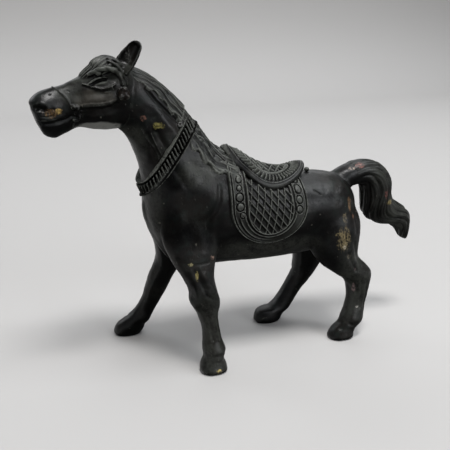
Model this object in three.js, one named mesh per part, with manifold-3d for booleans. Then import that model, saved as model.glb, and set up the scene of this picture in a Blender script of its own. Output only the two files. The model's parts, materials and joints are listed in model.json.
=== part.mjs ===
// A bronze horse cast in one piece, standing on its four hooves with a saddle, a saddle pad and a collar.
// Millimetres. +X runs to the tail, +Z is up, and the horse's left side faces -Y.
//
// Most forms are lofts through ribs. A rib is a closed section between two points of the side view,
// [x, z] each, with the sideways place of its middle and its half width.

import * as THREE from 'three';
import { mergeVertices } from 'three/addons/utils/BufferGeometryUtils.js';
import Module from 'manifold-3d';

const wasm = await Module();
wasm.setup();

// Driving dimensions

const hoofHalfWidth = 4.2;
const frontStance = 18.9; // half the distance between the middles of the front hooves
const hindStance = 11.3;
const frontSway = 1.9; // how far the front hooves stand over to the right
const trunkHalfWidth = 13.2;
const neckHalfWidth = 7.6;
const headHalfWidth = 6.4;
const tailHalfWidth = 4.8;

const collarWidth = 5.2;
const collarHeight = 1.7;
const collarBeads = 25;

const padThickness = 0.9;
const padRimWidth = 1.1;
const padBorderWidth = 3.6;
const diamondHalfLength = 1.7;
const diamondHalfHeight = 2.05;
const diamondDepth = 0.75;

const seatFront = -1.6;
const seatLength = 29.6;
const seatHalfWidth = 10.6;
const seatEdge = 1.9;
const seatRibs = 17;

const bronze = new THREE.MeshStandardMaterial({ color: 0x23231f, roughness: 0.42, metalness: 0.75 });

// Solids from rings of points

function solidOf(points, faces) {
  const vertProperties = new Float32Array(points.flatMap((p) => [p.x, p.y, p.z]));
  const triVerts = new Uint32Array(faces);
  const solid = new wasm.Manifold(new wasm.Mesh({ numProp: 3, vertProperties, triVerts }));
  if (solid.volume() > 0) return solid;
  for (let i = 0; i < triVerts.length; i += 3) {
    [triVerts[i], triVerts[i + 1]] = [triVerts[i + 1], triVerts[i]];
  }
  return new wasm.Manifold(new wasm.Mesh({ numProp: 3, vertProperties, triVerts }));
}

function middleOf(ring) {
  const sum = new THREE.Vector3();
  for (const point of ring) sum.add(point);
  return sum.divideScalar(ring.length);
}

// Rings joined one to the next, with a fan of faces over each end
function skin(rings) {
  const sides = rings[0].length;
  const points = rings.flat();
  const faces = [];
  for (let i = 0; i + 1 < rings.length; i++) {
    for (let k = 0; k < sides; k++) {
      const a = i * sides + k;
      const b = i * sides + ((k + 1) % sides);
      faces.push(a, b, b + sides, a, b + sides, a + sides);
    }
  }
  const last = (rings.length - 1) * sides;
  points.push(middleOf(rings[0]), middleOf(rings[rings.length - 1]));
  for (let k = 0; k < sides; k++) {
    const next = (k + 1) % sides;
    faces.push(points.length - 2, next, k, points.length - 1, last + k, last + next);
  }
  return solidOf(points, faces);
}

// Rings joined round into a closed loop, with no ends
function loopSkin(rings) {
  const sides = rings[0].length;
  const points = rings.flat();
  const faces = [];
  for (let i = 0; i < rings.length; i++) {
    const near = i * sides;
    const far = ((i + 1) % rings.length) * sides;
    for (let k = 0; k < sides; k++) {
      const next = (k + 1) % sides;
      faces.push(near + k, near + next, far + next, near + k, far + next, far + k);
    }
  }
  return solidOf(points, faces);
}

function fromGeometry(geometry, place) {
  geometry.deleteAttribute('normal');
  geometry.deleteAttribute('uv');
  const merged = mergeVertices(geometry.applyMatrix4(place));
  const positions = merged.getAttribute('position');
  const points = [];
  for (let i = 0; i < positions.count; i++) points.push(new THREE.Vector3().fromBufferAttribute(positions, i));
  return solidOf(points, [...merged.index.array]);
}

// Smooth curve of numbers through evenly counted stations
function spline(values, t) {
  const i = Math.min(Math.floor(t), values.length - 2);
  const f = t - i;
  const p1 = values[i];
  const p2 = values[i + 1];
  const p0 = i > 0 ? values[i - 1] : 2 * p1 - p2;
  const p3 = i + 2 < values.length ? values[i + 2] : 2 * p2 - p1;
  const square = 2 * p0 - 5 * p1 + 4 * p2 - p3;
  const cube = 3 * p1 - p0 - 3 * p2 + p3;
  return 0.5 * (2 * p1 + (p2 - p0) * f + square * f ** 2 + cube * f ** 3);
}

const rib = (top, bottom, y, half, egg = 0) => [...top, ...bottom, y, half, egg];

const ribAt = (ribs, t) => ribs[0].map((_, column) => spline(ribs.map((row) => row[column]), t));

// One section: a superellipse from its bottom to its top point, wider towards the top where egg is above 0
function sectionPoint([topX, topZ, bottomX, bottomZ, y, half, egg], angle, power) {
  const round = (v) => Math.sign(v) * Math.abs(v) ** (2 / power);
  const rise = round(Math.cos(angle));
  const side = round(Math.sin(angle)) * (1 + egg * rise);
  return new THREE.Vector3(
    (topX + bottomX + (topX - bottomX) * rise) / 2,
    y + half * side,
    (topZ + bottomZ + (topZ - bottomZ) * rise) / 2,
  );
}

// Every other point of a section steps in by groove, as a share of its way from the middle
function ringOf(values, sides, power, groove) {
  const ring = [];
  for (let k = 0; k < sides; k++) ring.push(sectionPoint(values, (2 * Math.PI * k) / sides, power));
  const middle = middleOf(ring);
  return ring.map((point, k) => (k % 2 ? point.lerp(middle, groove) : point));
}

function loft(ribs, { sides = 16, steps = 2, power = 2.1, groove = 0 } = {}) {
  const rings = [];
  for (let i = 0; i <= (ribs.length - 1) * steps; i++) {
    rings.push(ringOf(ribAt(ribs, i / steps), sides, power, groove));
  }
  return skin(rings);
}

// The same ribs with every section grown outwards
function grown(ribs, by) {
  return ribs.map(([topX, topZ, bottomX, bottomZ, y, half, egg]) => {
    const length = Math.hypot(topX - bottomX, topZ - bottomZ);
    const stepX = ((topX - bottomX) / length) * by;
    const stepZ = ((topZ - bottomZ) / length) * by;
    return [topX + stepX, topZ + stepZ, bottomX - stepX, bottomZ - stepZ, y, half + by, egg];
  });
}

const joined = (solids) => solids.reduce((all, solid) => all.add(solid));

// Trunk and neck, from the buttocks forward and up to the poll

const w = trunkHalfWidth;
const trunkRibs = [
  rib([48.4, 54], [49.2, 44], 0, 0.2 * w),
  rib([46.2, 57], [47.6, 38.6], 0, 0.6 * w),
  rib([41.5, 60], [41, 35.5], 0, 0.9 * w),
  rib([34, 61.4], [33, 33], 0, 0.98 * w),
  rib([25.5, 61.5], [25.5, 32.3], 0, w),
  rib([17, 61.8], [17, 32.1], 0, 1.02 * w),
  rib([8, 64.4], [8, 32.2], 0, 1.02 * w),
  rib([-1, 69.8], [-1, 32.7], 0, 0.99 * w, -0.06),
  rib([-5.6, 73], [-10, 33], 0, 0.94 * w, -0.1),
  rib([-8.2, 76.3], [-19, 35.6], 0, 0.83 * w, -0.12),
  rib([-10.3, 79.4], [-25.5, 44], 0, 0.74 * w, -0.14),
  rib([-12.6, 82], [-28.3, 53], 0, 1.14 * neckHalfWidth, -0.14),
  rib([-15.4, 85.6], [-28.5, 61], 0, 0.98 * neckHalfWidth, -0.14),
  rib([-19.6, 90.3], [-29.2, 67.5], 0, 0.86 * neckHalfWidth, -0.12),
  rib([-24.4, 95.2], [-31, 73.5], 0, 0.76 * neckHalfWidth, -0.08),
  rib([-29.5, 98.5], [-33.5, 78.6], 0, 0.7 * neckHalfWidth),
  rib([-34.5, 99.5], [-37, 82], 0, 0.5 * neckHalfWidth),
];

const trunkForm = { sides: 20, steps: 1, power: 2.15 };

// The keel down the middle of the chest
const keelRibs = [
  rib([-27.5, 60], [-24, 60], 0, 1.6),
  rib([-29, 54.5], [-24, 54], 0, 2.2),
  rib([-27, 46], [-21, 48], 0, 2.6),
  rib([-22, 37.4], [-17, 42], 0, 2.6),
  rib([-17.5, 33], [-13, 37], 0, 1.6),
];

// Head, from the jowls to the lips
const h = headHalfWidth;
const headRibs = [
  rib([-30, 98.5], [-31.5, 81], 0, 0.72 * h),
  rib([-34.5, 101], [-34.5, 81], 0, 0.96 * h),
  rib([-39, 100.6], [-38.5, 81.2], 0, 1.02 * h, 0.05),
  rib([-43.5, 98.8], [-43, 81.7], 0, 0.94 * h, 0.05),
  rib([-48, 96.3], [-47.6, 82.4], 0, 0.74 * h),
  rib([-52, 94.6], [-51.6, 80.5], 0, 0.66 * h, -0.05),
  rib([-55.6, 93.9], [-55, 79.2], 0, 0.72 * h, -0.05),
  rib([-59, 92.7], [-58, 80.4], 0, 0.72 * h),
  rib([-60.9, 91.2], [-59.9, 83.8], 0, 0.56 * h),
  rib([-61.6, 90], [-60.8, 86.4], 0, 0.3 * h),
];

// Legs, each from inside the shoulder or the rump down to the flat sole

const nearFrontRibs = [
  rib([-20, 62], [-10, 62], -3.6, 3),
  rib([-24.2, 54], [-6, 55], -6.2, 4.2),
  rib([-24.8, 45], [-5, 45], -8.2, 5),
  rib([-22.1, 37.6], [-7.8, 36.8], -10.2, 4.8),
  rib([-19.5, 33], [-8.5, 31.6], -11.2, 4.3),
  rib([-17.4, 28.2], [-7.7, 27], -12, 4),
  rib([-17.4, 24.4], [-6.9, 23.2], -12.7, 4.1),
  rib([-15.2, 20.6], [-7.2, 19.2], -13.4, 3.4),
  rib([-13.6, 15.8], [-6.8, 15.1], -14.2, 3),
  rib([-13.6, 11.6], [-6, 10.9], -15.1, 3.1),
  rib([-13.8, 8.4], [-5.3, 7.4], -15.8, 3.9),
  rib([-13.5, 5.7], [-6.4, 4.9], -16.4, 3.5),
  rib([-14.7, 3.2], [-5.8, 2.7], -16.4, 3.9),
  rib([-15.2, 1], [-5.9, 0.9], frontSway - frontStance, hoofHalfWidth),
  rib([-14.5, 0], [-6.5, 0], frontSway - frontStance, hoofHalfWidth - 0.7),
];

const farFrontRibs = [
  rib([-20, 62], [-10, 62], 3.6, 3),
  rib([-24.2, 54], [-6, 55], 6.2, 4.2),
  rib([-24.8, 45], [-6, 45], 8.4, 5),
  rib([-22.3, 37.5], [-9.4, 35.5], 11, 4.8),
  rib([-21.5, 31], [-12.5, 28.6], 13.2, 4.2),
  rib([-23.5, 24.8], [-15.7, 22.4], 14.8, 4),
  rib([-24.9, 19.9], [-17.5, 17.9], 15.9, 3.4),
  rib([-26, 15.4], [-19.7, 13.4], 16.9, 3),
  rib([-28.2, 11], [-22.1, 8.6], 18, 3),
  rib([-30.5, 8.2], [-23.5, 5.6], 18.8, 3.7),
  rib([-33, 6.3], [-24.8, 4], 19.3, 3.6),
  rib([-35.4, 4.2], [-25.2, 2.4], 19.9, 3.9),
  rib([-36.3, 1.2], [-25.8, 0.9], frontSway + frontStance, hoofHalfWidth),
  rib([-35.5, 0], [-26.4, 0], frontSway + frontStance, hoofHalfWidth - 0.7),
];

const nearHindRibs = [
  rib([30, 57.5], [42.4, 57], -2.6, 3.4),
  rib([25, 51], [46.4, 50.5], -5.8, 5.2),
  rib([24.6, 43.5], [48.6, 44], -7.7, 6),
  rib([28.2, 36.4], [48.1, 37.6], -8.6, 5.5),
  rib([33, 29.6], [47.6, 31.4], -9.4, 4.7),
  rib([38.4, 25.4], [51.1, 27.4], -9.8, 4),
  rib([43, 21.8], [53.4, 24], -10, 3.8),
  rib([44.1, 17.2], [52.3, 17], -10.3, 3.3),
  rib([43.6, 12.8], [51.1, 11.8], -10.6, 3.1),
  rib([41.7, 8.6], [49.8, 6.6], -11.4, 3.8),
  rib([40.5, 5.9], [47.6, 4.2], -11.6, 3.5),
  rib([37.8, 3.4], [46.6, 2.4], -11.3, 3.8),
  rib([36.7, 1], [46.4, 0.9], -hindStance, hoofHalfWidth),
  rib([37.4, 0], [45.7, 0], -hindStance, hoofHalfWidth - 0.7),
];

const farHindRibs = [
  rib([30, 57.5], [42, 57], 2.6, 3.4),
  rib([25, 51], [46, 50.5], 5.8, 5.2),
  rib([25.8, 43.5], [47.8, 44], 7.6, 5.8),
  rib([29.3, 35.6], [47, 35.6], 8.6, 5.4),
  rib([31.9, 28], [44.4, 25.8], 9.4, 4.7),
  rib([31.9, 20.2], [39.8, 17.4], 10.2, 3.9),
  rib([29.5, 14.9], [35.8, 12.6], 10.7, 3.4),
  rib([26.6, 9.9], [32.7, 7.6], 11, 3.3),
  rib([23.5, 6.7], [30.7, 4.6], 11.2, 3.6),
  rib([18, 4.8], [28.4, 2.7], 11.3, 3.9),
  rib([16.7, 1.2], [27.3, 0.9], hindStance, hoofHalfWidth),
  rib([17.5, 0], [26.6, 0], hindStance, hoofHalfWidth - 0.7),
];

// Tail: one thick lock, up from the dock, over, down and flicked back to its tip
const t = tailHalfWidth;
const tailRibs = [
  rib([40, 59.6], [45, 51], 0, 0.95 * t),
  rib([46, 62.3], [48.4, 53.8], 0, 0.95 * t),
  rib([51, 63.8], [51.7, 55], 0, 0.95 * t),
  rib([56.3, 63.5], [53.7, 54.2], 0, 0.98 * t),
  rib([61.7, 61.5], [54.2, 51.4], 0, t),
  rib([65.8, 56.8], [54.6, 47.6], 0, 1.05 * t),
  rib([66.5, 51.6], [55.2, 43.6], 0, 1.05 * t),
  rib([67.5, 48.2], [58, 40.6], 0, t),
  rib([70.3, 46], [62.2, 38.8], 0, 0.95 * t),
  rib([73.9, 43.4], [66.8, 38], 0, 0.88 * t),
  rib([75.9, 40.2], [69.4, 36.4], 0, 0.78 * t),
  rib([76.1, 36.4], [71.4, 34], 0, 0.65 * t),
  rib([75.7, 32.8], [72.8, 32], 0, 0.5 * t),
  rib([75.3, 31.2], [74, 31.1], 0, 0.3 * t),
];

function threeMesh(solid) {
  const { vertProperties, triVerts } = solid.getMesh();
  const geometry = new THREE.BufferGeometry();
  geometry.setAttribute('position', new THREE.BufferAttribute(new Float32Array(vertProperties), 3));
  geometry.setIndex(new THREE.BufferAttribute(new Uint32Array(triVerts), 1));
  return new THREE.Mesh(geometry, bronze);
}

// A probe for a solid's skin: the first point met from start along a direction
function probeOf(solid) {
  const mesh = threeMesh(solid);
  const meet = (start, direction) => new THREE.Raycaster(start, direction).intersectObject(mesh)[0]?.point;
  const fromSide = (x, z, side) => {
    const found = meet(new THREE.Vector3(x, side * 60, z), new THREE.Vector3(0, -side, 0));
    return found ? found.y : 0;
  };
  return { meet, fromSide };
}

// A lock of hair or a cord: a tapered strand over points of the side view, laid on a solid's skin
function strand(probe, side, route, radius, { sides = 4, steps = 4, sink = 0.3, flat = 1, tip = 0.3 } = {}) {
  const onSkin = route.map(([x, z]) => new THREE.Vector3(x, probe.fromSide(x, z, side) - side * sink * radius, z));
  const curve = new THREE.CatmullRomCurve3(onSkin);
  const rings = [];
  for (let i = 0; i <= steps; i++) {
    const middle = curve.getPoint(i / steps);
    const along = curve.getTangent(i / steps);
    const out = new THREE.Vector3(0, side, 0).addScaledVector(along, -side * along.y).normalize();
    const across = new THREE.Vector3().crossVectors(along, out);
    const swell = radius * (tip + (1 - tip) * Math.sin(Math.PI * (0.12 + (0.83 * i) / steps)) ** 0.8);
    const ring = [];
    for (let k = 0; k < sides; k++) {
      const angle = (2 * Math.PI * k) / sides;
      ring.push(middle.clone().addScaledVector(out, swell * Math.cos(angle))
        .addScaledVector(across, flat * swell * Math.sin(angle)));
    }
    rings.push(ring);
  }
  return skin(rings);
}

// An ellipsoid, turned about the sideways axis by tilt
function bead(x, y, z, radii, tilt = 0, detail = 6) {
  const place = new THREE.Matrix4().makeTranslation(x, y, z);
  place.multiply(new THREE.Matrix4().makeRotationY(tilt));
  place.multiply(new THREE.Matrix4().makeScale(...radii));
  return fromGeometry(new THREE.SphereGeometry(1, detail, 3), place);
}

// A prism through the horse from side to side, over an outline of the side view
function prism(outline, from = -30, to = 30) {
  const shape = new THREE.Shape(outline.map(([x, z]) => new THREE.Vector2(x, z)));
  const geometry = new THREE.ExtrudeGeometry(shape, { depth: to - from, bevelEnabled: false, steps: 1 });
  const place = new THREE.Matrix4().makeTranslation(0, to, 0);
  place.multiply(new THREE.Matrix4().makeRotationX(Math.PI / 2));
  return fromGeometry(geometry, place);
}

// Head with its mouth slit, nostrils, eyes, noseband, cheek cords and bosses

const mouthLine = [[-63, 82.4], [-58, 83.4], [-54, 84.4], [-50.6, 85.8], [-54, 83.4], [-58, 82.3], [-63, 81.2]];
const nosebandLine = [[-55.2, 96.5], [-50.9, 90.6], [-49.9, 86.4], [-51.2, 78], [-50, 78],
  [-48.7, 86.2], [-49.5, 91], [-53.2, 96.5]];

function headSolid() {
  const form = { sides: 14, steps: 1, power: 2.2 };
  const jaws = prism([[-58.6, 79], [-48, 79], [-48, 88], [-58.6, 88]], -0.42 * h, 0.42 * h);
  const lips = prism(mouthLine).subtract(jaws);
  const head = loft(headRibs, form).subtract(lips);
  const noseband = loft(grown(headRibs, 0.4), form).intersect(prism(nosebandLine));
  const probe = probeOf(head);
  const pieces = [head, noseband];
  for (const side of [-1, 1]) {
    const eye = probe.fromSide(-42, 95.2, side) - side * 0.5;
    const boss = probe.fromSide(-35.4, 92, side);
    const bitRing = probe.fromSide(-49.2, 86.6, side);
    pieces.push(
      bead(-42, eye, 95.2, [2, 1.1, 1.15], 0.3),
      bead(-35.4, boss, 92, [1.9, 1, 1.9]),
      bead(-49.4, bitRing, 86.2, [1.5, 1, 2]),
      strand(probe, side, [[-45.6, 94.6], [-43.4, 97], [-40.6, 97.4], [-38, 95.6]], 0.75),
      strand(probe, side, [[-45.4, 94.2], [-42.6, 93.2], [-39.4, 93.8]], 0.5, { steps: 3 }),
      strand(probe, side, [[-49.2, 87.2], [-44.5, 88.2], [-40, 88.9], [-36, 91.8]], 0.6, { tip: 0.7 }),
      strand(probe, side, [[-38.6, 101], [-36.6, 98.4], [-35.4, 95.4], [-35.3, 92.6]], 0.7, { tip: 0.7 }),
    );
  }
  const nostrils = [-1, 1].map((side) => {
    const y = probe.fromSide(-58.4, 89.6, side) + side * 0.2;
    return bead(-58.4, y, 89.6, [1.3, 1.1, 0.9], 0.5);
  });
  return joined(pieces).subtract(joined(nostrils));
}

// Ear: a leaf-shaped cup, open forwards and outwards, leaning back
const earForm = { base: [-33.5, 98.4], tip: [-29.3, 107], y: 3.5, outward: 1, wide: 2.5, thick: 1.4 };

function earSolid(side, back, drop) {
  const { base, tip, y, outward, wide, thick } = earForm;
  const up = new THREE.Vector3(tip[0] - base[0] + back, side * outward, tip[1] - base[1] - drop);
  const out = new THREE.Vector3(-0.25, side, 0.05);
  out.addScaledVector(up, -out.dot(up) / up.lengthSq()).normalize();
  const across = new THREE.Vector3().crossVectors(up, out).normalize();
  // A section at height f, with its half width and half thickness as shares of the leaf's, and how far out it sits
  const section = (f, width, depth, shift) => {
    const spread = wide * Math.sin(Math.PI * (0.2 + 0.72 * f)) ** 0.7;
    const middle = new THREE.Vector3(base[0], side * y, base[1]).addScaledVector(up, f);
    middle.addScaledVector(out, shift * thick);
    const ring = [];
    for (let k = 0; k < 8; k++) {
      const angle = (2 * Math.PI * k) / 8;
      ring.push(middle.clone().addScaledVector(across, width * spread * Math.cos(angle))
        .addScaledVector(out, depth * thick * Math.sin(angle) * (shift ? 1 : spread / wide)));
    }
    return ring;
  };
  const leaf = [0, 0.2, 0.4, 0.6, 0.8, 1].map((f) => section(f, 1, 1, 0));
  const hollow = [0.27, 0.47, 0.67, 0.87].map((f) => section(f, 0.62, 1, 1.15));
  return skin(leaf).subtract(skin(hollow));
}

// Collar: a tilted band round the foot of the neck, with two rims and slanting beads between them
const collarForm = { top: [-12.2, 82.2], bottom: [-29.2, 59.8], forward: 1.7 };

function collarSolid(neck) {
  const probe = probeOf(neck);
  const top = new THREE.Vector3(collarForm.top[0], 0, collarForm.top[1]);
  const bottom = new THREE.Vector3(collarForm.bottom[0], 0, collarForm.bottom[1]);
  const long = top.clone().sub(bottom).normalize();
  const ahead = new THREE.Vector3(-long.z, 0, long.x);
  const middle = top.clone().lerp(bottom, 0.5);
  const reach = top.distanceTo(bottom) / 2;
  const profile = [[-0.5, -2.2], [-0.46, 0.8], [-0.28, 0.2], [0.28, 0.2], [0.46, 0.8], [0.5, -2.2]];
  const rings = [];
  for (let i = 0; i < 2 * collarBeads; i++) {
    const angle = (Math.PI * i) / collarBeads;
    const towards = long.clone().multiplyScalar(reach * Math.cos(angle));
    towards.y = neckHalfWidth * Math.sin(angle);
    towards.normalize();
    const out = long.clone().multiplyScalar(neckHalfWidth * Math.cos(angle));
    out.y = reach * Math.sin(angle);
    out.normalize();
    const bow = collarForm.forward * Math.abs(Math.sin(angle)) * (1 - 0.35 * Math.cos(angle));
    const from = middle.clone().addScaledVector(ahead, bow);
    const place = probe.meet(from.addScaledVector(towards, 40), towards.negate());
    const atChest = Math.max(0, -Math.cos(angle)) ** 3;
    const over = ahead.clone().lerp(new THREE.Vector3(-0.1, 0, 1), atChest).normalize();
    out.lerp(new THREE.Vector3(-1, 0, -0.1), atChest).normalize();
    const rise = i % 2 ? 0.55 : 0.05;
    const thick = collarHeight * (0.85 + 0.15 * Math.cos(angle));
    rings.push(profile.map(([offset, height]) => {
      const beaded = Math.abs(offset) < 0.3 ? height + rise : height;
      return place.clone().addScaledVector(over, offset * collarWidth).addScaledVector(out, beaded * thick);
    }));
  }
  return loopSkin(rings);
}

// Saddle pad: a flap on each side that follows the trunk, with rims, a border of studs and a diamond field

// The pad's outline on the side view, drawn in by inset, as an arch upside down
function padOutline(inset, top = 84) {
  const left = -3.2 + inset;
  const right = 24 - inset;
  const middle = (left + right) / 2 + 0.6;
  const low = 41.6 + inset;
  const bend = 54;
  const outline = [[left, top]];
  for (let i = 0; i <= 8; i++) {
    const angle = Math.PI * (1 + i / 8);
    const reach = i < 4 ? middle - left : right - middle;
    outline.push([middle + reach * Math.cos(angle), bend + (bend - low) * Math.sin(angle)]);
  }
  outline.push([right, top]);
  return outline;
}

const trunkSkin = (by) => loft(grown(trunkRibs.slice(3, 9), by), trunkForm);

// Sunk diamonds: the lattice lines between the cells stay at full height, and each cell's middle is pressed in
function diamondField(side) {
  const probe = probeOf(trunkSkin(padThickness + 0.3));
  const middleX = 10.5;
  const middleZ = 52.5;
  const points = [];
  const faces = [];
  const numbers = new Map();
  const number = (i, j, level, depth) => {
    const name = `${i} ${j} ${level}`;
    if (!numbers.has(name)) {
      numbers.set(name, points.length);
      const x = middleX + (i - j) * diamondHalfLength;
      const z = middleZ + (i + j) * diamondHalfHeight;
      points.push(new THREE.Vector3(x, probe.fromSide(x, z, side) - side * depth, z));
    }
    return numbers.get(name);
  };
  const reach = 11;
  const isCell = (i, j) => {
    const across = (i - j) * diamondHalfLength;
    const up = (i + j + 1) * diamondHalfHeight;
    return Math.abs(across) < 12 && up > -14 && up < 8;
  };
  for (let i = -reach; i < reach; i++) {
    for (let j = -reach; j < reach; j++) {
      if (!isCell(i, j)) continue;
      const loop = [[i, j], [i + 1, j], [i + 1, j + 1], [i, j + 1]];
      const beside = [[i, j - 1], [i + 1, j], [i, j + 1], [i - 1, j]];
      const top = loop.map(([a, b]) => number(a, b, 'top', 0));
      const base = loop.map(([a, b]) => number(a, b, 'base', 3.2));
      const pit = number(i + 0.5, j + 0.5, 'pit', diamondDepth);
      faces.push(base[0], base[2], base[1], base[0], base[3], base[2]);
      for (let k = 0; k < 4; k++) {
        const next = (k + 1) % 4;
        faces.push(top[k], top[next], pit);
        if (!isCell(...beside[k])) faces.push(top[k], base[k], base[next], top[k], base[next], top[next]);
      }
    }
  }
  return solidOf(points, faces).intersect(prism(fieldOutline(0.35)));
}

const innerRim = padRimWidth + padBorderWidth * 0.75;
const fieldOutline = (share) => padOutline(innerRim + share * padRimWidth, 59 - share);

function padSolid() {
  const blanket = trunkSkin(padThickness).intersect(prism(padOutline(0)));
  const probe = probeOf(blanket);
  const pieces = [blanket.subtract(prism(fieldOutline(0.5))), diamondField(-1), diamondField(1)];
  for (const side of [-1, 1]) {
    for (const inset of [0.5 * padRimWidth, innerRim]) {
      const line = { sides: 3, steps: 10, tip: 1, sink: 0.1 };
      pieces.push(strand(probe, side, padOutline(inset, 64), 0.5 * padRimWidth, line));
    }
    for (const x of [-1, 21.8]) {
      for (let i = 0; i < 3; i++) {
        const z = 52 + i * 4;
        pieces.push(bead(x, probe.fromSide(x, z, side), z, [1.2, 0.7, 1.2]));
      }
    }
  }
  return joined(pieces);
}

// Saddle seat: a dished leaf over the back, high at the pommel, with a ribbed rim round a bead line

const seatCrown = [73, 71.4, 68.4, 66.2, 65.1, 64.9, 66];

function seatHeight(x, y) {
  const along = THREE.MathUtils.clamp((x - seatFront) / seatLength, 0, 1) * (seatCrown.length - 1);
  return spline(seatCrown, along) - 5.3 * (Math.abs(y) / seatHalfWidth) ** 1.7;
}

function seatSolid() {
  const steps = 2 * seatRibs;
  // How far out, how high over the dish, and whether the ribs show there
  const rows = [
    [0.3, 0, 0], [0.6, 0.1, 0], [0.645, 0.45, 0], [0.69, 0.1, 0], [0.72, 0.15, 1], [0.88, 0.45, 1],
    [0.95, 0.3, 0], [1, -0.35, 0], [1, -seatEdge, 0], [0.84, -seatEdge - 0.7, 0], [0.76, -5, 0],
  ];
  const rings = rows.map(([out, lift, ribbed]) => {
    const ring = [];
    for (let i = 0; i < steps; i++) {
      const angle = (2 * Math.PI * i) / steps;
      const x = seatFront + seatLength * (0.5 + 0.5 * out * Math.cos(angle));
      const y = out * seatHalfWidth * Math.sin(angle) * (1 + 0.16 * Math.cos(angle));
      const notch = ribbed * (i % 2 ? -0.3 : 0.12);
      ring.push(new THREE.Vector3(x, y, seatHeight(x, y) + lift + notch));
    }
    return ring;
  });
  return skin(rings);
}

// Mane: a sheet of wavy locks over the crest, whose lower edge is scalloped, before and behind the collar

const manePieces = [
  { from: 15.2, to: 12.3, locks: 7, spread: 0.8, height: 1.2 },
  { from: 11.4, to: 7.3, locks: 4, spread: 0.66, height: 0.9 },
];

function maneSolid() {
  const across = [-1, -0.6, 0, 0.6, 1];
  const fullness = [0, 1, 0.55, 1, 0];
  return joined(manePieces.map(({ from, to, locks, spread, height }) => {
    const columns = 3 * locks;
    const rings = [];
    for (let i = 0; i <= columns; i++) {
      const along = from + ((to - from) * i) / columns;
      const wave = (shift) => Math.abs(Math.sin((Math.PI * (i + shift)) / 3));
      const edge = spread * (0.84 + 0.16 * wave(1));
      const at = (part, by) => sectionPoint(grown([ribAt(trunkRibs, along)], by)[0], part * edge, trunkForm.power);
      const rise = (part) => height * (0.35 + 0.65 * wave(2.4 * Math.abs(part)));
      const outer = across.map((part, k) => at(part, fullness[k] * rise(part)));
      const inner = across.map((part) => at(part, -2)).reverse();
      rings.push([...outer, ...inner]);
    }
    return skin(rings);
  }));
}

// Forelock: a roll of hair over the forehead, with strands combed back over its sides
function forelockSolid(head) {
  const roll = loft([
    rib([-46.8, 97], [-46.4, 93.5], 0, 2),
    rib([-44.4, 100.2], [-43, 95], 0, 4.2),
    rib([-40.6, 102.6], [-40, 96], 0, 5.1),
    rib([-36.8, 102.5], [-36.4, 96], 0, 4.9),
    rib([-33.4, 100], [-34, 95], 0, 3.6),
  ], { sides: 12, steps: 1 });
  const locks = [roll];
  const probe = probeOf(head.add(roll));
  for (const side of [-1, 1]) {
    for (let i = 0; i < 3; i++) {
      const x = -44 + 2.9 * i;
      const z = 98.4 + 2.2 * Math.sin((Math.PI * (i + 0.7)) / 3.4);
      locks.push(strand(probe, side, [[x + 1, z + 1], [x + 0.6, z - 0.6], [x + 1.6, z - 3.2]], 0.9, { steps: 3 }));
    }
  }
  return joined(locks);
}

function horseSolid() {
  const trunk = loft(trunkRibs, trunkForm);
  const head = headSolid();
  const legs = [nearFrontRibs, farFrontRibs, nearHindRibs, farHindRibs];
  return joined([
    trunk,
    loft(keelRibs, { sides: 6, steps: 1 }),
    head,
    ...legs.map((ribs) => loft(ribs, { sides: 10, steps: 1, power: 2.3 })),
    loft(tailRibs, { sides: 18, steps: 1, power: 2, groove: 0.13 }),
    earSolid(-1, 0, 0),
    earSolid(1, 2.1, 0.6),
    collarSolid(trunk),
    padSolid(),
    seatSolid(),
    maneSolid(),
    forelockSolid(head),
  ]);
}

// The horse stands with the middle of its footprint box at the origin
function horseMesh() {
  const mesh = threeMesh(horseSolid());
  mesh.geometry.computeBoundingBox();
  const { min, max } = mesh.geometry.boundingBox;
  mesh.geometry.translate(-(min.x + max.x) / 2, -(min.y + max.y) / 2, -min.z);
  mesh.material = bronze;
  mesh.name = 'horse';
  return mesh;
}

const horse = new THREE.Group();
horse.add(horseMesh());

export default horse;
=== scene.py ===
import json
import bmesh
import bpy
import numpy as np
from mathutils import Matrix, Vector
from mathutils.bvhtree import BVHTree

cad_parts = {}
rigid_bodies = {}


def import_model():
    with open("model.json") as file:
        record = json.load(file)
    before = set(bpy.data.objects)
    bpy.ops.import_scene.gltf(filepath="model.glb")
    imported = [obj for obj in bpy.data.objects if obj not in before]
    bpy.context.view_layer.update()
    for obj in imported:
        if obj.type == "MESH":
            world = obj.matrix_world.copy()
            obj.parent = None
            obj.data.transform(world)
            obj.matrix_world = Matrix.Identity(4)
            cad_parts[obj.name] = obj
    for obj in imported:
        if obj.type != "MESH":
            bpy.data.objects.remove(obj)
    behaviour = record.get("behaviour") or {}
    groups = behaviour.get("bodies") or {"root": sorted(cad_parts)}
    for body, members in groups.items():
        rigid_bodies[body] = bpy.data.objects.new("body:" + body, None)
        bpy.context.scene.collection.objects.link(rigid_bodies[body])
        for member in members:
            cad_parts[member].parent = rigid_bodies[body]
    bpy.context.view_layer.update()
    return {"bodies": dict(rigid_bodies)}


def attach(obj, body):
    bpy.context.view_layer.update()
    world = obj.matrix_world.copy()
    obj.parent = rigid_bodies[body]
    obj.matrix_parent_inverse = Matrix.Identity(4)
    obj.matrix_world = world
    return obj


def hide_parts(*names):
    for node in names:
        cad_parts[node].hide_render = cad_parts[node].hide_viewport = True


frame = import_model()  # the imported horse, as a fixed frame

# A cast bronze horse with a saddle, a saddle pad and a collar.
# Shapes are worked out in millimetres: x runs to the tail, z is up, and the horse's left side faces -y.
# The pieces then move by "shift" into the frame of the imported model, in metres.

body = next(iter(frame["bodies"]))
shift = np.array([7.25, 1.9, 0])
print("loaded", body, "full")


# Curves, sections and grids

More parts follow.
